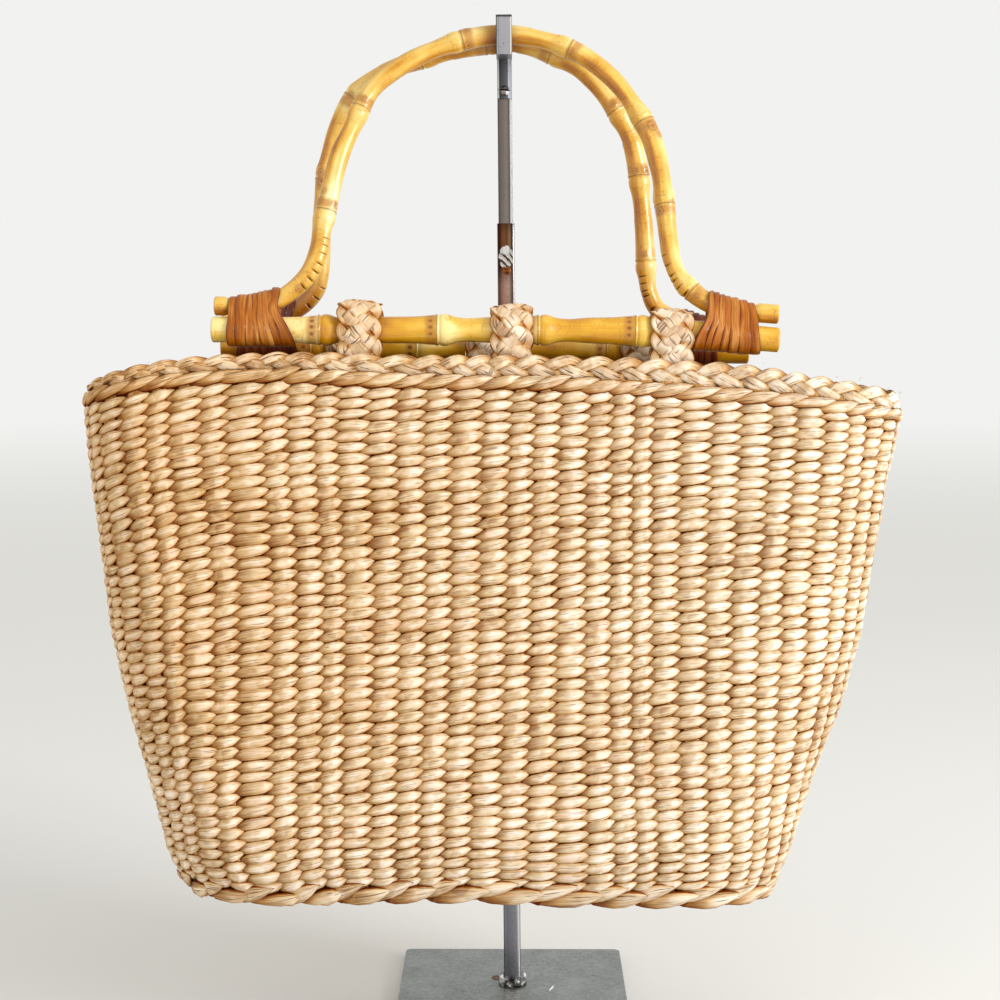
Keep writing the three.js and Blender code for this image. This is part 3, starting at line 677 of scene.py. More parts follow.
class Metal(Finish):
    """A finish for a part of the leaning post."""

    def __init__(self, name, half_width=4.0):
        super().__init__(name)
        self.x, self.y, self.z = (part / MM for part in self.parts(self.object_place()))
        self.x = self.x + self.z * POST_LEAN
        self.cloud = self.noise(self.object_place((6, 6, 0.4)), 40.0, 3.0, 0.6)
        self.scratch = self.noise(self.object_place((900, 900, 30)), 1.0, 2.0, 0.6)
        self.side = self.x.between(-half_width, half_width) + (self.cloud - 0.5) * 0.05

    def profile(self, *stops):
        """Painted light across the part, its highlights, shade and reflections, from its left edge
        at 0 to its right one at 1.
        """
        return self.ramp(self.side, *stops)

    def worn(self, colour, rough):
        """Metal of this colour with cloudy and scratched shine and a few flecks."""
        level = self.cloud * 0.75 + self.scratch * 0.25
        shine = self.ramp(level, (0.3, "DCDCDC"), (0.7, "FFFFFF"))
        colour = self.mix(1.0, colour, shine, "MULTIPLY")
        speck = self.spots(self.object_place(), 420.0).between(0.06, 0.16)
        colour = self.mix(speck, linear("3E3834"), colour)
        return self.surface(
            Base_Color=colour,
            Metallic=0.85,
            Roughness=rough + (self.cloud - 0.5) * 0.25 + (self.scratch - 0.5) * 0.15,
            Normal=self.bump(self.scratch + self.cloud * 0.5, 0.08, 0.0005),
        )


def bar_finish():
    finish = Metal("bar_steel", 3.95)
    # Painted light: shade at the left edge, and a dark line and a painted highlight along the
    # right edge
    colour = finish.profile((0.0, "6C6864"), (0.06, "564E4A"), (0.15, "746C66"), (0.35, "847A74"),
                            (0.6, "91867E"), (0.74, "78706A"), (0.8, "4C4744"), (0.86, "F0F0EE"),
                            (0.92, "E4E4E4"), (0.97, "B4B2B4"), (1.0, "8A8684"))
    return finish.worn(colour, 0.28)


def tube_finish():
    """The tube, with painted reflections: dark brown at its top, pinkish under the thumb screw
    and grey at its foot, with a painted highlight along its right edge."""
    finish = Metal("tube_steel", 4.75)
    top = finish.profile((0.0, "8A8684"), (0.05, "2A0E08"), (0.16, "38160C"), (0.26, "704220"),
                         (0.42, "825432"), (0.55, "6C4022"), (0.72, "907052"), (0.82, "543829"),
                         (0.88, "3E2A26"), (0.91, "F0F0EE"), (0.97, "E8E8E8"), (1.0, "7E7874"))
    middle = finish.profile((0.0, "A8A09E"), (0.06, "4A2C24"), (0.16, "825C50"), (0.3, "AA8272"),
                            (0.5, "BC9582"), (0.64, "C8A696"), (0.74, "967A70"), (0.84, "6A5450"),
                            (0.89, "5E4A46"), (0.92, "F2F2F0"), (0.97, "E8E8E8"), (1.0, "7E7874"))
    foot = finish.profile((0.0, "5C5E66"), (0.05, "74767E"), (0.12, "90929A"), (0.2, "7E808A"),
                          (0.35, "888A96"), (0.6, "90929E"), (0.8, "9C9EA8"), (0.86, "E4E6EA"),
                          (0.93, "F4F4F6"), (0.97, "A4A6AC"), (1.0, "707278"))
    colour = finish.mix(finish.z.between(398.0, 408.0), middle, top)
    colour = finish.mix(finish.z.between(100.0, 200.0), foot, colour)
    colour = finish.mix(finish.z.between(426.0, 432.0) * 0.6, colour, linear("2E160A"))
    return finish.worn(colour, 0.25)


def hook_finish():
    """The hook, in painted light and reflections: a pale tab in front with dark edges and a
    white band at its right, a greyer arm, and a dark leg with painted highlights along its
    edges."""
    finish = Metal("hook_steel", 3.8)
    leg = finish.profile((0.0, "D4D6D6"), (0.1, "C0C2C2"), (0.14, "30322F"), (0.22, "484A48"),
                         (0.4, "5E5E5E"), (0.6, "6C707A"), (0.72, "606C7A"), (0.78, "E8ECF0"),
                         (0.88, "D4D8E0"), (1.0, "D8D2DA"))
    tab = finish.ramp(finish.x.between(-4.2, 4.2), (0.0, "56585A"), (0.05, "6C6E6E"),
                      (0.09, "D0CAC6"), (0.13, "9A9C9E"), (0.2, "B6B4B8"), (0.8, "BAB8BE"),
                      (0.86, "A4A6A8"), (0.89, "F4F2EE"), (0.95, "F0EAE2"), (1.0, "6A6E70"))
    tab = finish.mix(finish.z.between(538.4, 539.2), tab, linear("4A4C4E"))
    colour = finish.mix(finish.y.between(-8.6, -8.0), linear("8A888C"), leg)
    colour = finish.mix(finish.y.between(-31.6, -30.6), tab, colour)
    return finish.worn(colour, 0.35)


def screw_finish(name):
    """Polished metal: the dark and white patches that a mirror would show, and a dark slot
    across the hook's screw."""
    finish = Metal(name)
    patches = finish.noise(finish.object_place((1, 0.3, 1)), 300.0, 1.0, 0.5)
    colour = finish.ramp(patches, (0.36, "16120E"), (0.44, "5C5856"), (0.54, "8E8C8A"),
                         (0.64, "FFFFFF"))
    slot = abs(finish.z - 503.3 + finish.x * 0.08).between(0.35, 0.7)
    colour = finish.mix(slot, linear("120D08"), colour)
    return finish.surface(Base_Color=colour, Metallic=0.8, Roughness=0.25)


def thumb_finish():
    """The thumb screw: a pale top, slanting flutes below it painted as stripes of highlight
    and shade, and a copper ball.
    """
    finish = Metal("thumb_screw_steel")
    along = finish.x * 0.7 + (finish.z - 413.4) * 0.7 + finish.x * finish.x * 0.09
    along = (along + (finish.cloud - 0.5) * 3.0) / 2.9
    flutes = finish.ramp(along.maths("FRACT"), (0.0, "2A1C12"), (0.25, "6E5E54"), (0.42, "F6F2EA"),
                         (0.6, "A8A098"), (0.75, "D8D2CA"), (0.92, "4A3A2E"), (1.0, "2A1C12"))
    top = finish.ramp(finish.cloud, (0.35, "8C8A88"), (0.55, "DCDAD6"), (0.7, "F4F2EE"))
    colour = finish.mix(finish.z.between(414.6, 416.0), flutes, top)
    colour = finish.mix(finish.z.between(407.9, 408.4), linear("8E5014"), colour)
    return finish.surface(Base_Color=colour, Metallic=0.75, Roughness=0.28)


def plate_finish():
    """The zinc plate: mottled grey with fine dark pits, a paler painted reflection of the post
    in front of it, a rusty spot beside it and one bright scratch."""
    finish = Finish("zinc_plate")
    place = finish.object_place()
    x, y = (part / MM for part in finish.parts(place)[:2])
    cloud = finish.noise(place, 45.0, 4.0, 0.65)
    fine = finish.noise(place, 420.0, 3.0, 0.7)
    level = cloud * 0.5 + fine * 0.5
    colour = finish.ramp(level, (0.32, "6C706E"), (0.5, "8B8F8D"), (0.68, "A2A6A4"))
    # Painted reflection of the post on the plate, paler, in front of its foot
    post_reflection = 1.0 - (abs(x) + fine * 2.0).between(4.6, 5.2)
    post_reflection = post_reflection * (1.0 - y.between(-3.0, 0.0))
    colour = finish.mix(post_reflection * 0.6, colour, finish.ramp(fine, (0.4, "9A9A96"), (0.6, "C8C8C4")))
    pits = finish.spots(place, 330.0).between(0.05, 0.2)
    pits = pits.maths("MAXIMUM", cloud.between(0.5, 0.6))
    colour = finish.mix(pits, linear("474844"), colour)
    spot = distance((x + 9.3) / 2.9, (y - 10.5) / 4.6) + (fine - 0.5) * 0.5
    scratch = distance((x - 22.0 - (y + 7.0) * 0.3) / 0.75, (y + 7.0) / 5.0)
    scratch = scratch + (fine - 0.5) * 0.6
    colour = finish.layer(colour, (1.0 - spot.between(0.8, 1.1), "4A2A12"),
                          (1.0 - spot.between(0.2, 0.6), "7A4A22"),
                          (1.0 - scratch.between(0.7, 1.0), "FFFFFF"))
    return finish.surface(Base_Color=colour, Metallic=0.75, Roughness=0.5 + (cloud - 0.5) * 0.3,
                          Normal=finish.bump(fine, 0.12, 0.0005))


STRAW = straw_finish("twined_straw", "9A6C38", "D5C09C", "F8F1EA", "F6E2DC", 0.6, 0.48)
RIM_STRAW = straw_finish("rim_straw", "885828", "CCAC7E", "F3E8D2", "F6E2DC", 0.35, 0.5, 1.5)
PALE_STRAW = straw_finish("plaited_straw", "9C7040", "D8BE9A", "F4E6D2", "F8E2DA", 0.0, 0.55, 1.3)
CORE = core_finish()
ROD_BAMBOO = bamboo_finish("amber_bamboo", 0.1, (0.0, "9E5E04"), (0.3, "C48408"),
                           (0.55, "D49C1A"), (0.8, "E4B84A"), (1.0, "F2D68A"))
ARCH_BAMBOO = bamboo_finish("pale_bamboo", 0.32, (0.0, "A25E04"), (0.25, "C8880E"),
                            (0.5, "DBAE48"), (0.78, "E6CA7C"), (1.0, "F0E2AC"))
RATTAN = rattan_finish("rattan", "702C04", "A65A06", "D2964C")
# The back handle's rattan: a darker copy of the rattan, painted dark as painted shade
SHADED_RATTAN = rattan_finish("shaded_rattan", "3A1006", "5E240C", "84401A")
PLATE_METAL = plate_finish()
STAND_METALS = {"base_plate": PLATE_METAL, "post_collar": screw_finish("collar_steel"),
                "post_tube": tube_finish(), "post_bar": bar_finish(), "hook": hook_finish(),
                "hook_screw": screw_finish("hook_screw_steel"), "thumb_screw": thumb_finish()}


# The twined wall

TIP_REACH = 1.03
STITCH_STATIONS = np.array([-0.96, -0.78, -0.4, 0.05, 0.45, 0.78, 0.95])
STITCH_TURNS = np.array([0.0, 0.2, 0.4, 0.6, 0.8, 1.0, 1.5]) * math.pi
INSIDE_STATIONS = np.array([-0.92, -0.36, 0.36, 0.92])
WALE_STATIONS = np.array([-0.97, -0.84, -0.56, -0.2, 0.2, 0.56, 0.82, 0.96])


def drifting(rows, columns, reach):
    """Chance numbers that change slowly along a row. Two strands are twined in each row,
    so every other stitch belongs together."""
    values = rng.normal(0, 1, (columns + 2 * reach + 1, rows, 2))
    values = smooth(values.reshape(len(values), -1), reach).reshape(len(values), rows, 2)
    values = values[:columns] * math.sqrt(2 * reach + 1)
    parity = (np.arange(columns)[:, None] + np.arange(rows)[None]) % 2
    return np.where(parity == 0, values[..., 0], values[..., 1]).T


def twined(name, place, rows, columns, material, facing=1, out=-1.2, reach=(0.78, 0.66),
           slant=0.18, tail=-0.26, head=0.24, half=0.56, thick=1.5, lift=2.1, tilt=0.35,
           blunt=(4.0, 2.7), shades=None, stations=STITCH_STATIONS):
    """A field of twined stitches. Along t from -1 to 1 a stitch runs back and ahead from its
    column's middle by the two numbers of columns in reach. Its centre climbs slant t rows,
    and as t |t| from tail to head rows. Its half width is half (1 - |t|^p)^0.8 rows with a
    p in blunt for its tail and one for its head, so that the head is a sharp tip along the
    row's upper edge. It bulges by lift towards facing in its middle, and tilt puts its head
    over the next one's tail. Its section is a half oval towards facing with a flat back."""
    rows = np.asarray(rows, float)
    columns = np.asarray(columns, float)
    shape = (len(rows), len(columns), 1, 1)
    t = stations[None, None, :, None]
    turn = STITCH_TURNS[None, None, None, :]

    def chance(scale):
        return scale * rng.normal(0, 1, shape)

    row = rows[:, None, None, None] + chance(0.025)
    column = columns[None, :, None, None] + 0.5 + chance(0.02)
    full = (1 - np.abs(t) ** np.where(t < 0, blunt[0], blunt[1])) ** 0.8
    slim = 0.03 * drifting(len(rows), len(columns), 2)[..., None, None]
    width = half * full * (1 + chance(0.05) + slim + chance(0.05) * t)
    climb = np.where(t < 0, tail, head) * t ** 2 * (1 + chance(0.15))
    climb = climb + (slant + chance(0.035)) * t
    steps = np.where(t < 0, reach[0], reach[1]) * (1 + chance(0.03)) * t
    away = width * np.cos(turn)
    bulge = lift * (np.cos(0.49 * math.pi * np.abs(t)) - 1) + tilt * t
    height = np.where(turn <= math.pi + 0.01, np.sin(turn), 0.5 * np.sin(turn))
    height = height * thick * (0.35 + 0.65 * full)
    offset = out + chance(0.15) + facing * (bulge + height)
    points = place(column + steps, row + climb + away, offset)
    tip = np.array([-1.0, 1.0])[None, None, :, None]
    tip_column = column + np.where(tip < 0, reach[0], reach[1]) * TIP_REACH * tip
    tip_row = row + slant * tip + np.where(tip < 0, tail, head)
    tips = place(tip_column, tip_row, out + facing * (tilt * tip - lift))
    tips = np.broadcast_to(tips, (len(rows), len(columns), 2, 1, 3))
    count = len(rows) * len(columns)
    rings = points.reshape(count, len(stations), len(STITCH_TURNS), 3)
    tone = 0.12 * rng.normal(0, 1, (len(rows), len(columns)))
    tone += 0.14 * drifting(len(rows), len(columns), 4)
    if shades is not None:
        tone += shades(rows)[:, None]
    hue = np.clip(0.5 * drifting(len(rows), len(columns), 3) + 0.15, 0, 1)
    # Painted shade: deep grows where a stitch sinks at its ends and on its flanks, and the straw
    # finish darkens it brown there
    sunk = np.clip(-bulge / lift, 0, 1)
    flank = (1 - np.clip(np.sin(turn), 0, 1)) ** 1.5
    marks = {"tone": np.clip(tone, -1.1, 1.1).reshape(count, 1, 1),
             "hue": hue.reshape(count, 1, 1),
             "seed": rng.uniform(0, 1, (count, 1, 1)),
             "deep": np.clip(0.5 * sunk + 0.9 * flank, 0, 1)[0],
             "run": 8.0 * (stations[None, :, None] + 1)}
    return tubes(name, rings, material, marks, tips.reshape(count, 2, 3), (stations + 1) / 2)


def row_level(row):
    """Height of a twined row that may lie between two: the rows are a little closer
    towards the foot."""
    share = np.asarray(row) / ROWS
    return WALL_FOOT + (ROWS_TOP - WALL_FOOT) * (0.965 * share + 0.035 * share ** 2)


def on_wall(column, row, out):
    """Places a stitch on the wall. Rows sway by a few tenths of a millimetre."""
    sway = 0.07 * np.sin(0.9 * column + 0.35 * row) + 0.09 * np.sin(0.31 * column - 0.2 * row)
    level = row_level(row + sway)
    around = column_at(column, level)
    share = np.asarray(row) / ROWS
    right = right_end(around)
    level = level - RIGHT_DROP * right * share ** 3
    level = level - broad_plait(around) * (3.0 - 1.8 * right) * share ** 8
    level = level - foot_sag(around) * np.clip(1 - share, 0, 1) ** 5
    return wall_point(around, level, out)


# Bands of straw of another tone: row from the foot and how much darker or lighter
TONE_ROWS = (0, 4, 8, 12, 15, 18, 22, 26, 30, 32.5, 35, 38, 41, 44)
TONES = (0.2, 0.03, 0.2, 0.05, -0.22, 0.0, 0.12, 0.1, -0.2, -0.42, -0.05, 0.02, 0.08, 0.0)


def row_shades(rows):
    return np.interp(rows, TONE_ROWS, TONES)


# Depths under the outer face: the stakes, and the two sides of the dark sheet. A stake's
# half width and half thickness
STAKE_DEPTH = 1.9
STAKE_SIZE = (3.9, 0.8)
CORE_DEPTHS = (3.3, 3.6)


def wall_weave():
    """The wall: stitches outside on the front half and on the back half, stitches inside,
    upright stakes that show in the gaps, and a sheet between them, painted dark brown as
    painted shade."""
    rows = np.arange(ROWS) + 0.5
    quarter, half = COLUMNS // 4, COLUMNS // 2
    for name, first, last in (("weave_front", -quarter, half - quarter),
                              ("weave_back", half - quarter, COLUMNS - quarter)):
        piece = twined(name, on_wall, rows, np.arange(first, last), STRAW, shades=row_shades)
        dress(piece, "woven_straw", "basket_body")
    inside = twined("weave_inside", on_wall, rows, np.arange(COLUMNS), STRAW, facing=-1, out=-4.0,
                    thick=1.0, lift=0.7, tilt=0.1, stations=INSIDE_STATIONS)
    dress(inside, "woven_straw", "basket_body")

    levels = np.linspace(WALL_FOOT, ROWS_TOP + 3, 40)
    columns = np.arange(COLUMNS) + 0.5
    around = column_at(columns[:, None], levels[None])
    path = wall_point(around, levels[None], -STAKE_DEPTH)
    outward = wall_point(around, levels[None], 1 - STAKE_DEPTH) - path
    rings = ribbon_rings(path, outward, *STAKE_SIZE, 8)
    tone = np.clip(0.3 * rng.normal(0, 1, (COLUMNS, 1, 1)), -0.8, 0.8)
    # The stakes get a steady half share of painted brown shade
    marks = {"tone": tone, "hue": 0.3, "seed": rng.uniform(0, 1, (COLUMNS, 1, 1)), "deep": 0.5,
             "run": (levels - levels[0])[None, :, None]}
    stakes = tubes("stakes", rings, STRAW, marks, along=np.full(len(levels), 0.6))
    dress(stakes, "woven_straw", "basket_body")

    around = np.linspace(0, 1, 301)[:-1]
    levels = np.linspace(WALL_FOOT - 5, RIM_TOP - 9, 42)
    outer = wall_point(around[:, None], levels[None], -CORE_DEPTHS[0])
    inner = wall_point(around[:, None], levels[None, ::-1], -CORE_DEPTHS[1])
    sheet = np.concatenate([outer, inner], 1)[None]
    dress(tubes("wall_core", sheet, CORE, loop=True), "woven_straw", "basket_body")


BOTTOM_ROW = 5.4
BOTTOM_COLUMN = 13.0
BOTTOM_CORNER = 46
BOTTOM_MARGIN = 7


def bottom_weave():
    """The woven bottom: rows of stitches along x on its outside and its inside, kept where
    they lie within the foot's outline, on a thin core plate painted dark brown as painted
    shade."""
    heights = np.arange(LEVELS[0, 0], 130, LEVEL_STEP)
    foot = level_rows(heights)[np.searchsorted(heights, WALL_FOOT)]
    width, depth, x0, y0 = foot[1] - 4, foot[2] - 3, foot[3], foot[4]

    def surface(x, y, out):
        lift = level_rise(WALL_FOOT, x - x0, (x - x0) / width, (y0 - y) / depth)
        return np.stack([x, y, WALL_FOOT + lift - out], -1)

    def on_bottom(column, row, out):
        x, y, out = np.broadcast_arrays(x0 + column * BOTTOM_COLUMN, y0 + row * BOTTOM_ROW, out)
        return surface(x, y, out)

    half_rows = int(depth / BOTTOM_ROW)
    spans = {}
    for row in range(-half_rows, half_rows + 1):
        share = min(1.0, abs(row * BOTTOM_ROW) / depth)
        reach = width - BOTTOM_CORNER * (1 - math.sqrt(1 - share ** 4))
        spans[row] = int((reach - BOTTOM_MARGIN) / BOTTOM_COLUMN)
    for name, facing, out in (("bottom_outside", 1, -1.6), ("bottom_inside", -1, -3.8)):
        for span in sorted(set(spans.values())):
            rows = [row for row, value in spans.items() if value == span]
            piece = twined(f"{name}_{span}", on_bottom, rows, np.arange(-span, span), STRAW,
                           facing=facing, out=out, thick=1.1, lift=1.0, tilt=0.2)
            dress(piece, "woven_straw", "basket_body")
    turns = np.linspace(0, TAU, 121)[:-1]
    rings = []
    for inset, out in ((1.0, -2.2), (1.0, -2.8)):
        x = (width - inset) * np.sign(np.cos(turns)) * np.abs(np.cos(turns)) ** 0.55
        y = (depth - inset) * np.sign(np.sin(turns)) * np.abs(np.sin(turns)) ** 0.55
        rings.append(surface(x0 + x, y0 + y, np.full_like(x, out)))
    dress(tubes("bottom_core", np.stack(rings)[None], CORE), "woven_straw", "basket_body")


def rim_drop(around):
    """How far the rim's thick round lies lower: at the right end and under the broad plait."""
    return RIGHT_DROP * right_end(around) + 2.9 * broad_plait(around)


def wale(name, node, level, facing=1, out=-1.6, thick=2.0, lift=1.2, half=0.34,
         reach=(1.0, 0.9), every=(0, 1), tilt=0.8, slant=0.24):
    """One round of thicker strands, each carried past the next stake, so that its long
    leaves lie like fallen dominoes. every gives the first column and the step to the next.
    The round follows the rim's drop or the foot's sag."""
    height, drop = {"rim_wale": (WALE_HEIGHT, rim_drop), "base_wale": (HEM_HEIGHT, foot_sag)}[node]

    def on_band(column, row, offset):
        place = level + (row - 0.5) * height
        around = column_at(column, place)
        return wall_point(around, place - drop(around), offset)

    columns = np.arange(every[0], COLUMNS, every[1])
    piece = twined(name, on_band, [0.5], columns, RIM_STRAW, facing, out, reach, slant,
                   tail=-0.04, head=0.08, half=half, thick=thick, lift=lift, tilt=tilt,
                   blunt=(3.0, 2.2), stations=WALE_STATIONS)
    dress(piece, "woven_straw", node)


def wales():
    """The rim's round outside and inside, and the foot's: its outer leaves lie in two
    layers, each from every other column."""
    wale("rim_wale_outside", "rim_wale", WALE_LEVEL, out=-0.4)
    wale("rim_wale_inside", "rim_wale", WALE_LEVEL, facing=-1, out=-3.2, thick=1.8)
    wale("base_wale_upper", "base_wale", HEM_LEVEL + 1.8, out=-1.6, thick=2.2, half=0.42,
         lift=1.0, reach=(1.3, 1.2), every=(0, 2), tilt=2.5, slant=0.4)
    wale("base_wale_lower", "base_wale", HEM_LEVEL - 0.8, out=-1.4, thick=2.4, half=0.46,
         lift=1.0, reach=(1.4, 1.25), every=(1, 2), tilt=2.5, slant=0.3)
    wale("base_wale_inside", "base_wale", HEM_LEVEL, facing=-1, out=-3.8, thick=2.2, half=0.4,
         reach=(1.3, 1.15))


BRAID_PERIODS = 21
BRAID_MIDDLE = 4.1


def rim_plait():
    """A flat plait of three strands laid along the rim. A strand's height is a sine of the
    way round and its depth a sine of twice that, so each passes over and under in turn."""
    turns = np.linspace(0, 1, BRAID_PERIODS * 24 + 1)[:-1]
    wobble = 0.35 * np.sin(TAU * 7 * turns) + 0.25 * np.sin(TAU * 11 * turns + 1)
    phase = TAU * BRAID_PERIODS * turns[None] + wobble + TAU * np.arange(3)[:, None] / 3
    right, broad = right_end(turns), broad_plait(turns)
    narrow = bell(turns, 0.8, 0.06)
    swing = 2.6 + 0.25 * np.sin(TAU * 5 * turns) + 0.9 * right + broad - 0.5 * narrow
    sag = (1.4 * np.clip(1 - np.abs(turns - 0.235) / 0.09, 0, 1) + 0.4 * narrow
           + 0.9 * bell(turns, 0.172, 0.045) + 1.5 * right + 1.9 * broad)
    weave = np.arcsin(0.95 * np.sin(phase)) / math.asin(0.95)
    level = RIM_TOP - BRAID_MIDDLE - sag + swing * weave
    out = -WALL / 2 + 1.25 * np.sin(2 * phase) + 0.3 * np.sin(TAU * 9 * turns)
    around = np.broadcast_to(turns, phase.shape)
    path = wall_point(around, level, out)
    outward = wall_point(around, level, out + 1) - path
    width = 2.5 + 0.45 * np.sin(2 * phase - 0.3) + 0.25 * np.sin(phase * 0.37 + 1) + 0.7 * broad
    roll = 0.5 * np.sin(phase + 0.3)[..., None]
    upward = unit(wall_point(around, level + 1, out) - path)
    rings = ribbon_rings(path, outward + upward * roll, width, 0.8, 14, True, 2.6)
    tone = smooth(rng.normal(0, 0.9, (len(turns), 3)), 4).T[:, :, None]
    hue = np.clip(smooth(rng.normal(0, 1.5, (len(turns), 3)), 6).T[:, :, None] + 0.3, 0, 1)
    # Painted shade where a strand passes under the others, and along its edges
    deep = np.clip(0.15 - 0.3 * np.sin(2 * phase), 0, 1)[:, :, None] + 0.6 * edge_shade(14)
    run = np.broadcast_to(turns * GIRTH, phase.shape)[:, :, None]
    marks = {"tone": tone, "hue": hue, "seed": np.arange(3)[:, None, None] * 0.37, "deep": deep,
             "run": run}
    piece = tubes("rim_plait", rings, RIM_STRAW, marks, along=np.full(len(turns), 0.6), loop=True)
    dress(piece, "woven_straw", "rim_braid")


HAIRS = 44
RIGHT_HAIRS = 12
RIGHT_END = 0.225


def loose_hairs():
    """Thin bare fibres that stand off the rim, closest together at its right end. Each
    leans along the rim, rises and then droops by the square of its length."""
    count = HAIRS + RIGHT_HAIRS
    where = np.concatenate([rng.uniform(0, 1, HAIRS), rng.normal(RIGHT_END, 0.03, RIGHT_HAIRS)])
    reach = rng.uniform(2.0, 5.0, count)
    lean = rng.uniform(-0.8, 0.8, count)
    rise = rng.uniform(0.1, 0.9, count)
    t = np.linspace(0, 1, 6)[None]
    around = where[:, None] + (lean * reach)[:, None] * t / GIRTH
    level = RIM_TOP - BRAID_HEIGHT * rng.uniform(0.05, 1, count)[:, None]
    level = level + (rise * reach)[:, None] * (t - 0.55 * t ** 2)
    out = 0.4 + (0.35 * reach)[:, None] * t ** 1.5
    path = wall_point(around, level, out)
    outward = wall_point(around, level, out + 1) - path
    rings = ribbon_rings(path, outward, 0.17 * (1 - 0.6 * t), 0.12, 5)
    seed = rng.uniform(0, 1, (count, 1, 1))
    marks = {"tone": 1.0, "hue": 0.2, "seed": seed, "deep": 0.0, "run": 10 * t[:, :, None]}
    dress(tubes("rim_hairs", rings, RIM_STRAW, marks, along=np.full(6, 0.6)), "woven_straw")


# Handles: canes in a plane that y, z and lean place, x along the rod and up measured from
# the rod. stubs are the bare lengths of the arch's ends. rod and arch are the same centre
# lines as in the CAD model, with joints, dark amber spots (x, up, reach) that are partly real
# stain and partly painted shadow, scars (x, up, turn, size) and cuts (x, up, depth) marked
# on them. A binding is a list of its turns' edges (x at the foot, x at the head). A loop is
# a name, x, width and slack
FRONT = {
    "name": "front", "y": -70, "z": 374.5, "lean": 0.2839, "stubs": (3.7, 8.5),
    "rod": [(-155.6, 0.6), (-100, 0.4), (20, 0.3), (63, -0.3), (100, -2), (137.2, -5)],
    "rod_joints": [-99.2, -40.5, 12.4, 63.4],
    "rod_tones": (0.5, -0.24, 0.34, -0.08, 0.1),
    "stain_and_shadow_spots": [(-9, 162, 9)],
    "arch": [
        (-154.6, 13.2), (-142, 13.2), (-131, 13.8), (-122, 16.4), (-113.5, 22.3), (-106.7, 29.6),
        (-103, 37), (-100.9, 45), (-99.3, 57), (-96.4, 71), (-91.2, 94.5), (-84.9, 110),
        (-75.4, 130.6), (-65.2, 140.5), (-52, 149.2), (-34, 157), (-16, 161.5), (-5.4, 162.4),
        (6, 161.5), (22, 157.5), (38, 149.8), (53.6, 136.4), (65.8, 118.8), (72.8, 104),
        (77, 86), (79.3, 66), (80.8, 50), (82.7, 37.5), (86.6, 28.2), (93.5, 20.5),
        (103, 14), (118, 10.6), (137.4, 8.7)],
    "arch_joints": [(-27.2, 159.2), (-80.3, 121), (-98.3, 64.5), (30.1, 153.9), (68.9, 113.5),
                    (79, 67.4), (92.6, 20.8)],
    "way": 1,
    "scars": [(-24.5, 158, 2.2, 2.4), (-24.5, 160, 3.9, 2.6), (-78.3, 124.6, 3.0, 1.8),
              (-97.4, 68.6, 3.9, 2.6), (-96.2, 74, 3.8, 2.2), (-96, 68.5, 2.3, 1.3),
              (31.8, 153.4, 2.7, 2.0), (71.5, 109, 3.6, 3.2), (72.6, 105, 4.0, 2.4),
              (79.2, 63.5, 2.5, 2.8), (78.6, 68.5, 3.9, 1.4), (96.0, 18.5, 2.9, 1.5),
              (99.4, 16.5, 4.0, 2.0), (-112.5, 23.5, 2.6, 2.2)],
    "cuts": [(-99.4, 34.6, 0.9), (-101.0, 30.2, 1.1), (-103.0, 25.4, 1.2), (-106.5, 20.6, 1.1),
             (-97.5, 40.4, 0.5), (-97.0, 45.0, 0.35), (-96.7, 48.9, 0.3),
             (79.3, 39.8, 0.4), (80.9, 34.8, 0.9), (83.1, 29.6, 1.2), (84.9, 27.0, 1.0),
             (87.4, 23.7, 0.9), (90.2, 20.5, 1.6)],
    "cut_turns": (2.32, 1.95),
    "bindings": [
        ("left", [(-147.0, -146.5), (-142.7, -142.8), (-137.6, -137.1), (-132.8, -134.4),
                  (-130.3, -131.6), (-126.2, -129.1), (-123.0, -126.5), (-118.9, -124.7),
                  (-112.2, -121.3)]),
        ("right", [(92.6, 102.0), (98.7, 103.6), (101.8, 106.4), (106.4, 109.3), (110.5, 112.0),
                   (115.6, 116.3), (122.0, 120.9), (126.8, 124.6)]),
    ],
    "loops": [("left", -79, 21, 4.6), ("middle", -0.7, 20, 2.6), ("right", 81.8, 20.4, 1.4)],
}
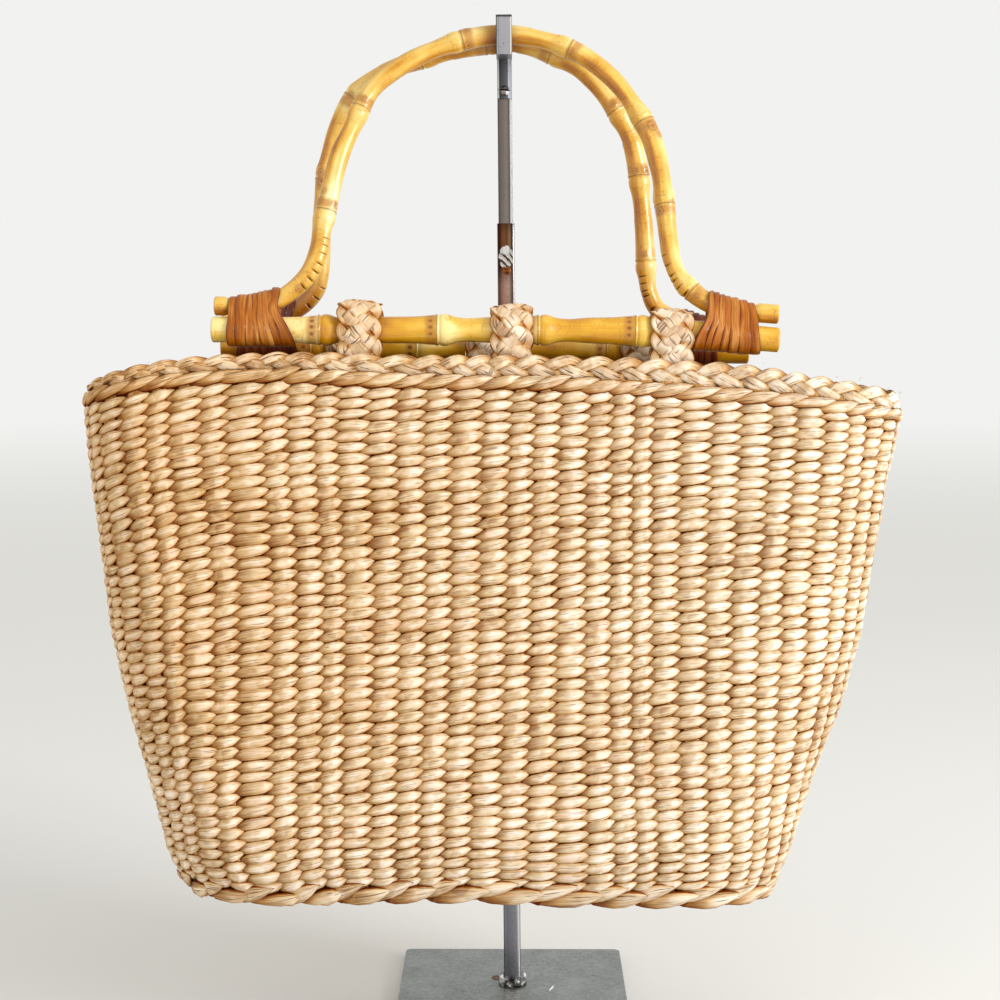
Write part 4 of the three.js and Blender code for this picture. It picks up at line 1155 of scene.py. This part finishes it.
BACK = {
    "name": "back", "y": -22, "z": 364.8, "lean": 0.0597, "stubs": (5.8, 14.4),
    "rod": [(-157.5, 0.4), (-60, 0.2), (50, -0.6), (127, -2.4)],
    "rod_joints": [-108, -51.3, 49.7],
    "rod_tones": (-0.3, -0.1, 0.05, -0.1),
    "stain_and_shadow_spots": [(-9, 163, 9), (-115, 20, 13)],
    "arch": [
        (-157, 13.6), (-146, 13.8), (-134, 15), (-121.5, 18), (-112.4, 23.6), (-106.2, 31.4),
        (-104.2, 40), (-103.4, 51), (-103.2, 64), (-101.4, 81.5), (-99.7, 97), (-96.4, 112),
        (-89.5, 128.5), (-79.5, 140.5), (-66, 148.6), (-50, 154.4), (-33, 159.2), (-15, 162.4),
        (-5.4, 163), (8, 161.4), (22, 156.4), (36, 148.6), (48.4, 136.6), (56.6, 125),
        (62.8, 113), (66.6, 98), (68.6, 82), (70.2, 66), (71.2, 51.5), (71.9, 40),
        (73.4, 29.5), (78.4, 20), (91.5, 14), (107, 11.6), (126.6, 10.6)],
    "arch_joints": [(-14.6, 162.2), (-50.1, 154.2), (-86, 133.5), (-100.6, 90), (20.3, 157.2),
                    (55.4, 127), (67.2, 92), (71.6, 46.8)],
    "way": -1,
    "scars": [(-101.6, 93.4, 3.6, 2.4), (-101.4, 88.6, 3.5, 2.7), (-86.3, 134, 3.4, 2.0),
              (53.4, 130, 3.2, 2.0), (66.6, 94.5, 2.9, 1.6), (67.2, 93.5, 4.0, 2.6),
              (71.4, 50.0, 3.0, 1.6)],
    "cuts": [(-105.6, 32.8, 0.6), (-107.4, 27.5, 1.1), (-110.4, 22.5, 1.2),
             (72.0, 38.0, 0.8), (72.4, 34.3, 0.8), (73.0, 30.7, 0.8), (73.8, 28.2, 1.1),
             (76.8, 22.0, 1.8)],
    "cut_turns": (2.2, 2.3),
    "bindings": [
        ("left", [(-148.0 + 4.2 * k, -148.0 + 3.8 * k) for k in range(9)]),
        ("right", [(88.5 + 3.5 * k, 91.0 + 3.0 * k) for k in range(7)]),
    ],
    "loops": [("left", -89, 21, 2), ("middle", -14.5, 20, 2), ("right", 69, 21, 2)],
}
ROD_RADIUS = 7.0
ARCH_RADIUS = 5.3
STUB_RADIUS = 4.9
PINCHED_RADIUS = 3.7
PINCH_LENGTH = 16.0


def spline(points):
    """A centripetal Catmull-Rom curve through points, as a fine line and its length so far
    at each point. The curve goes straight on past both ends."""
    p = np.asarray(points, float)
    p = np.concatenate([[2 * p[0] - p[1]], p, [2 * p[-1] - p[-2]]])
    gap = np.sqrt(np.linalg.norm(np.diff(p, axis=0), axis=1))[:, None]
    a, b, c, d = p[:-3], p[1:-2], p[2:-1], p[3:]
    before, here, after = gap[:-2], gap[1:-1], gap[2:]
    start = ((b - a) / before - (c - a) / (before + here) + (c - b) / here) * here
    finish = ((c - b) / here - (d - b) / (here + after) + (d - c) / after) * here
    t = np.linspace(0, 1, 41)[:, None, None]
    line = ((2 * t ** 3 - 3 * t ** 2 + 1) * b + (t ** 3 - 2 * t ** 2 + t) * start
            + (3 * t ** 2 - 2 * t ** 3) * c + (t ** 3 - t ** 2) * finish)
    line = np.concatenate([line[:-1].swapaxes(0, 1).reshape(-1, p.shape[1]), p[-2:-1]])
    return line, lengths(line)


def in_plane(handle, x, up, side):
    """World place of a point of a handle's plane; side is towards the back, square to it."""
    x, up, side = np.broadcast_arrays(x, up, side)
    sine, cosine = math.sin(handle["lean"]), math.cos(handle["lean"])
    return np.stack([x, handle["y"] + up * sine + side * cosine,
                     handle["z"] + up * cosine - side * sine], -1)


def length_at(line, walked, point):
    """Distance along a line of its point nearest to this one."""
    return walked[np.argmin(np.hypot(line[:, 0] - point[0], line[:, 1] - point[1]))]


CANE_SIDES = 36
BUD_GAP = 3.4
# Direction towards the key light, for the painted shade on the canes' far sides
KEY_LIGHT_SIDE = np.array([0.75, -0.35, 0.56])


def cane_stations(length, joints, nicks):
    """Places along a cane: every 1.5 mm, and closer at its ends, its joints and its cuts."""
    stations = [np.linspace(1.2, length - 1.2, int(length / 1.5))]
    stations += [np.array([0, 0.25, 0.7]), length - np.array([0.7, 0.25, 0])]
    stations += [joint + np.linspace(-3, 3, 13) for joint in joints]
    stations += [nick + np.array([-0.8, -0.45, -0.2, 0, 0.2, 0.45, 0.8]) for nick, _ in nicks]
    return np.unique(np.clip(np.concatenate(stations), 0, length).round(2))


def joint_swell(gap, fullness):
    """How much thicker a cane is at this distance from its joint, as a sum of bell curves:
    two swellings, a ridge with a groove behind it, and a waist further back."""
    swell = 0.9 * bell(gap, 0, 8.5) + 0.8 * bell(gap, -4.5, 3.2)
    swell = swell + 0.35 * bell(gap, 0, 0.7) - 0.45 * bell(gap, -1.2, 0.6)
    return fullness * (swell - 0.5 * bell(gap, -16, 7.0))


def turn_gap(turn, middle):
    """Signed angle from a turn round the cane to this one."""
    return (turn[None] - middle + math.pi) % TAU - math.pi


def cane(name, handle, points, material, radius_at, joints, way, scars=(), cuts=(),
         cut_turns=(0, 1), budded=0.0, fullness=0.65, tones=(0,) * 9, stain_and_shadow_spots=((0, 0, 1),)):
    """A cane in a handle's plane. Its radius swells towards each joint; way says on which
    side of the joint the buds and scars are. A scar is a low disc at a place along and a
    turn round the cane. A cut is a V groove across the inner side of the bend, its depth
    falling to nothing away from the turn that cut_turns gives for that end. The shaded-side
    mark says how far a point faces away from the key light, for painted amber shade there.
    tones has a tone for each length between joints, and the spots given are dark amber: partly
    real stain and partly painted shadow where another part shades the cane."""
    line, walked = spline(points)
    length = walked[-1]
    joints = [length_at(line, walked, point) for point in joints]
    nicks = [(length_at(line, walked, (x, up)), depth) for x, up, depth in cuts]
    s = cane_stations(length, joints, nicks)
    turn = TAU * np.arange(CANE_SIDES) / CANE_SIDES
    centre = at_lengths(line, walked, s)
    ahead = unit(at_lengths(line, walked, s + 0.5) - at_lengths(line, walked, s - 0.5))
    gaps = way * (s[:, None] - np.array(joints)[None])
    gap = np.take_along_axis(gaps, np.abs(gaps).argmin(1)[:, None], 1)[:, 0]
    waist = 0.35 * np.sin(s * 0.11 + len(joints)) * np.exp(-np.abs(s - length / 2) / length)
    ease = np.minimum(s, length - s)
    radius = radius_at(s, length) - 0.35 + joint_swell(gap, fullness) + waist * 0.5
    radius = radius - 0.9 * np.clip(1 - ease / 0.9, 0, 1) ** 2
    # Dark amber spots, partly real stain and partly painted shadow
    stained = np.stack([bell(np.hypot(*(centre - (x, up)).T), 0, reach)
                        for x, up, reach in stain_and_shadow_spots])
    lumps = 0.18 * np.sin(2 * turn[None] + s[:, None] * 0.05) + 0.1 * np.sin(3 * turn[None] + 1)
    grid = radius[:, None] + lumps
    scar = np.full(grid.shape, 2.0)
    for x, up, angle, size in scars:
        along = s[:, None] - length_at(line, walked, (x, up))
        away = np.hypot(along, turn_gap(turn, angle) * radius[:, None]) / size
        scar = np.minimum(scar, away)
        grid = grid + 0.5 * np.exp(-(away / 1.1) ** 4) - 0.45 * np.exp(-(away * 2.6) ** 2)
    cut = np.zeros(grid.shape)
    for nick, depth in nicks:
        across = np.abs(turn_gap(turn, cut_turns[0 if nick < length / 2 else 1]))
        share = np.clip(1 - across / 0.75, 0, 1) ** 0.5
        near = share * np.clip(1 - np.abs(s[:, None] - nick) / (0.25 + 0.35 * depth), 0, 1)
        cut = np.maximum(cut, near)
        grid = grid - 1.5 * depth * near
    side = np.cos(turn)[None]
    upward = np.stack([ahead[:, 1], -ahead[:, 0]], 1)[:, None]
    flat = centre[:, None] + upward * (grid * np.sin(turn))[..., None]
    rings = in_plane(handle, flat[..., 0], flat[..., 1], grid * side)
    facing = upward * np.sin(turn)[None, :, None]
    normal = in_plane(dict(handle, y=0, z=0), facing[..., 0], facing[..., 1], side)
    values = {"joint_gap": np.abs(gap)[:, None], "scar": scar, "cut": cut,
              "bud_gap": np.abs(gaps - BUD_GAP).min(1)[:, None], "lee": -normal @ KEY_LIGHT_SIDE,
              "end_grain": np.clip(1 - ease / 0.5, 0, 1)[:, None], "budded": budded,
              "stained": stained.max(0)[:, None],
              "tone": np.take(tones, np.searchsorted(joints, s))[:, None]}
    marks = {key: np.broadcast_to(value, grid.shape)[None] for key, value in values.items()}
    return tubes(name, rings[None], material, marks, along=s)


def rod_radius(s, length):
    return ROD_RADIUS + 0 * s


def arch_radius(stubs):
    """Radius along an arch: a bare cut end, then pinched by the rattan, then full."""
    def radius(s, length):
        out = np.empty_like(s)
        for side, stub in ((s < length / 2, stubs[0]), (s >= length / 2, stubs[1])):
            from_end = np.minimum(s, length - s)[side]
            share = np.clip((from_end - stub - 2.2) / PINCH_LENGTH, 0, 1)
            pinched = PINCHED_RADIUS + (ARCH_RADIUS - PINCHED_RADIUS) * share
            blend = np.clip((from_end - stub - 1.8) / 2.5, 0, 1)
            out[side] = STUB_RADIUS + 0.25 + (pinched - STUB_RADIUS - 0.25) * blend
        return out
    return radius


def line_height(points, x):
    """Height of a handle's centre line at x and its slope there, where the line first
    passes x on its way from the end on that side of the bag."""
    line, _ = spline(points)
    if x > 0:
        line = line[::-1]
    k = max(1, np.argmax(line[:, 0] >= x if x <= 0 else line[:, 0] <= x))
    (x0, up0), (x1, up1) = line[k - 1], line[k]
    slope = (up1 - up0) / (x1 - x0)
    return up0 + (x - x0) * slope, slope


BAND_POINTS = 56


def band_ring(high, head_up, low, foot_up):
    """A closed line round rod and arch, in steady steps: a half circle over the arch, a
    half circle under the rod and straight flanks between them."""
    over = np.linspace(0, math.pi, 15)
    under = np.linspace(math.pi, TAU, 15)
    ring = np.concatenate([
        np.stack([high * np.cos(over), head_up + high * np.sin(over)], 1),
        np.stack([low * np.cos(under), foot_up + low * np.sin(under)], 1)])
    closed = np.concatenate([ring, ring[:1]])
    walked = lengths(closed)
    return at_lengths(closed, walked, walked[-1] * np.arange(BAND_POINTS) / BAND_POINTS)


def binding(handle, side, edges, material):
    """Rattan wound round rod and arch. Each turn is a closed flat band that leans from its
    foot's x to its head's x, and the turns next to the bag's middle bow away from it."""
    end = 0 if side == "left" else -1
    low = ROD_RADIUS + 0.9
    stub = handle["stubs"][end]
    arch_end = handle["arch"][end][0]
    bands = []
    widths = []
    for k, ((foot_a, head_a), (foot_b, head_b)) in enumerate(zip(edges, edges[1:])):
        foot_x, head_x = (foot_a + foot_b) / 2, (head_a + head_b) / 2
        foot_up, _ = line_height(handle["rod"], foot_x)
        head_up, slope = line_height(handle["arch"], head_x)
        from_end = max(abs(head_x - arch_end), stub + 2.2)
        share = min(1.0, max(0.0, (from_end - stub - 2.2) / PINCH_LENGTH))
        bare = PINCHED_RADIUS + (ARCH_RADIUS - PINCHED_RADIUS) * share
        high = bare / math.cos(math.atan(slope)) + 0.15 + 0.75 * share
        ring = band_ring(high, head_up, low, foot_up)
        rise = (ring[:, 1] - (foot_up - low)) / (head_up + high - foot_up + low)
        x = foot_x + (head_x - foot_x) * rise + 0.25 * np.sin(ring[:, 1] * 0.35 + k)
        inmost = k / len(edges) if side == "left" else 1 - k / len(edges)
        bow = inmost ** 2.5 * np.sin(math.pi * np.clip(rise, 0, 1)) ** 2
        x = x - 6.5 * bow if side == "left" else x + 2.3 * bow
        bands.append(in_plane(handle, x, ring[:, 1], ring[:, 0]))
        width = abs(foot_b - foot_a) * (1 - rise) + abs(head_b - head_a) * rise
        widths.append(width / 2 + 0.3)
    path = np.stack(bands)
    outward = path - path.mean(1, keepdims=True)
    outward[..., 0] = 0
    width = np.stack(widths)
    thick = 0.55 + 0.1 * np.minimum(width, 4.0)
    thick = thick + 0.2 * np.sin(1.7 * np.arange(len(path)))[:, None]
    rings = ribbon_rings(path, outward, width, thick, 14, True, 3.0)
    # deep: painted shade at the edges of each turn, in the gaps between turns
    marks = {"tone": np.clip(0.4 * rng.normal(0, 1, (len(path), 1, 1)), -1, 1),
             "seed": rng.uniform(0, 1, (len(path), 1, 1)), "deep": edge_shade(14)}
    along = np.linspace(0, 80, BAND_POINTS)
    return tubes(f"{handle['name']}_rattan_{side}", rings, material, marks, along=along, loop=True)


# A strap's plait repeats after this length. Its middle lies a gap outside the rod, and its
# ends hang down between two levels under the rod, behind the rim's wall
STRAP_PERIOD = 41.0
STRAP_GAP = 2.9
STRAP_STEP = 0.9
TAIL_LEVELS = (-26.0, -17.0)
TAIL_BEHIND = 6.6
RIM_MIDDLE_Y = -46


def plaited_loop(handle, side, x, width, slack):
    """A flat plait of four strands carried over the rod, both ends going down together
    behind the rim. A strand swings from edge to edge as a softened triangle wave and dips
    under and over the strands that swing the other way."""
    rod_up, slope = line_height(handle["rod"], x)
    centre = in_plane(handle, np.array(x), np.array(rod_up), np.array(0.0))
    inward = 1 if handle["name"] == "front" else -1
    radius = ROD_RADIUS + STRAP_GAP
    rim = WALL_POINTS[int((RIM_TOP - BRAID_HEIGHT / 2 - LEVELS[0, 0]) / LEVEL_STEP)]
    rim = rim[(rim[:, 1] < RIM_MIDDLE_Y) == (inward > 0)]
    near_rim = rim[np.abs(rim[:, 0] - x).argmin()]
    tail = inward * (near_rim[1] + inward * (WALL / 2 + TAIL_BEHIND) - centre[1])
    turns = np.linspace(math.radians(-62), math.radians(242), 40)
    arc = np.stack([-radius * np.cos(turns), radius * np.sin(turns)], 1)
    arc[:, 1] += slack * np.clip(np.sin(turns), 0, 1) ** 0.5
    low, high = TAIL_LEVELS
    start = np.array([[tail - 0.9, low], [tail - 0.8, high]])
    finish = np.array([[tail + 2.6, high], [tail + 2.5, low]])
    line, walked = spline(np.concatenate([start, arc[3:-3:3], finish]))
    s = np.linspace(0, walked[-1], int(walked[-1] / STRAP_STEP))
    place = at_lengths(line, walked, s)
    ahead = unit(np.gradient(place, axis=0))
    normal = np.stack([-ahead[:, 1], ahead[:, 0]], 1)
    phase = TAU * (s[None] + 0.6 * x) / STRAP_PERIOD + TAU * np.arange(4)[:, None] / 4
    swing = np.arcsin(0.96 * np.sin(phase)) / math.asin(0.96)
    going = np.tanh(2.6 * np.cos(phase))
    strand = width * 0.43
    across = (width / 2 - strand * 0.36) * swing
    depth = -0.85 * np.cos(TAU * swing) * going - 1.1 * swing ** 2
    flat = place[None] + normal[None] * depth[..., None]
    path = np.stack([centre[0] + across, centre[1] + inward * flat[..., 0],
                     centre[2] + flat[..., 1] + slope * across], -1)
    hint = np.stack([np.zeros_like(across), np.broadcast_to(inward * normal[:, 0], across.shape),
                     np.broadcast_to(normal[:, 1], across.shape)], -1)
    rings = ribbon_rings(path, hint, strand / 2 + 0.1, 0.6, 12, False, 3.6)
    tone = np.clip(smooth(rng.normal(0, 0.9, (len(s), 4)), 5).T[:, :, None], -1, 1)
    # Painted shade where a strand dips under the others, and along its edges
    deep = np.clip(0.15 + 0.4 * np.cos(TAU * swing) * going, 0, 1)[:, :, None]
    deep = deep + 0.55 * edge_shade(12)
    marks = {"tone": tone, "hue": np.clip(-tone, 0, 1), "seed": np.arange(4)[:, None, None] * 0.29,
             "deep": deep, "run": s[None, :, None]}
    piece = tubes(f"{handle['name']}_plait_{side}", rings, PALE_STRAW, marks,
                  along=np.full(len(s), 0.6))
    dress(piece, "plaited_straw", f"{handle['name']}_loop_{side}")


def handles():
    for handle, material in ((FRONT, RATTAN), (BACK, SHADED_RATTAN)):
        name = handle["name"]
        joints = [(x, 0) for x in handle["rod_joints"]]
        rod = cane(f"{name}_rod_cane", handle, handle["rod"], ROD_BAMBOO, rod_radius, joints, -1,
                   budded=1.0, fullness=1.2, tones=handle["rod_tones"])
        dress(rod, "bamboo", f"{name}_rod")
        arch = cane(f"{name}_arch_cane", handle, handle["arch"], ARCH_BAMBOO,
                    arch_radius(handle["stubs"]), handle["arch_joints"], handle["way"],
                    handle["scars"], handle["cuts"], handle["cut_turns"],
                    stain_and_shadow_spots=handle["stain_and_shadow_spots"])
        dress(arch, "bamboo", f"{name}_arch")
        for side, edges in handle["bindings"]:
            dress(binding(handle, side, edges, material), "rattan", f"{name}_binding_{side}")
        for side, x, width, slack in handle["loops"]:
            plaited_loop(handle, side, x, width, slack)


def stand():
    """The stand's CAD solids keep their shape and get worn metal."""
    for node, material in STAND_METALS.items():
        for slot in bpy.data.objects[node].material_slots:
            slot.material = material


# Floor, light and camera

BACKGROUND = "F2F2F0"


def floor():
    """A pale floor that fades far out into the background's own light."""
    turns = np.linspace(0, TAU, 97)[:-1]
    radii = np.array([500.0, 1500, 4000, 12000, 40000])
    rings = np.stack([radii[:, None] * np.cos(turns), radii[:, None] * np.sin(turns),
                      np.zeros((len(radii), len(turns)))], -1)
    finish = Finish("floor")
    x, y, _ = finish.parts(finish.object_place())
    far = eased(distance(x, y).between(0.8, 6.0))
    colour = finish.mix(far, linear("DEDDD9"), linear("000000"))
    glow = finish.mix(far, linear("000000"), linear(BACKGROUND))
    material = finish.surface(Base_Color=colour, Roughness=0.9, Specular_IOR_Level=0.0,
                              Emission_Color=glow, Emission_Strength=1.0)
    ends = np.array([[[0, 0, 0], [0, 0, -10.0]]], float)
    tubes("floor", rings[None], material, ends=ends)


def area_light(name, place, aim, size, power, colour):
    light = bpy.data.lights.new(name, "AREA")
    light.shape = "RECTANGLE"
    light.size, light.size_y = size
    light.energy = power
    light.color = colour
    lamp = bpy.data.objects.new(name, light)
    lamp.location = place
    way = np.array(aim) - np.array(place)
    lamp.rotation_euler = (math.atan2(math.hypot(way[0], way[1]), -way[2]), 0,
                           math.atan2(way[1], way[0]) - math.pi / 2)
    bpy.context.collection.objects.link(lamp)


# The photograph is 1000 pixels wide, and its focal length was solved in the same pixels
FRAME_PIXELS = 1000
FOCAL_PIXELS = 2075
SENSOR = 36.0
CAMERA_PLACE = (0.00041, -1.1451, 0.3919)
CAMERA_TURN = (math.pi / 2 - 0.0975, 0, 0.0066)


def light_and_camera():
    world = bpy.data.worlds.new("studio")
    world.use_nodes = True
    world.node_tree.nodes["Background"].inputs[0].default_value = linear(BACKGROUND)
    world.node_tree.nodes["Background"].inputs[1].default_value = 1.0
    bpy.context.scene.world = world
    area_light("key", (1.75, -1.15, 1.0), (0, -0.08, 0.25), (0.8, 0.8), 42, (0.975, 0.985, 1.0))
    area_light("fill", (-1.4, -1.4, 0.7), (0, -0.08, 0.25), (1.2, 1.2), 4, (1.0, 0.97, 0.92))
    bpy.context.scene.view_settings.view_transform = "Standard"
    lens = bpy.data.cameras.new("camera")
    lens.sensor_width = SENSOR
    lens.lens = SENSOR * FOCAL_PIXELS / FRAME_PIXELS
    lens.clip_end = 100
    camera = bpy.data.objects.new("camera", lens)
    camera.location = CAMERA_PLACE
    camera.rotation_euler = CAMERA_TURN
    bpy.context.collection.objects.link(camera)
    bpy.context.scene.camera = camera


light_and_camera()
floor()
wall_weave()
bottom_weave()
wales()
rim_plait()
loose_hairs()
handles()
stand()
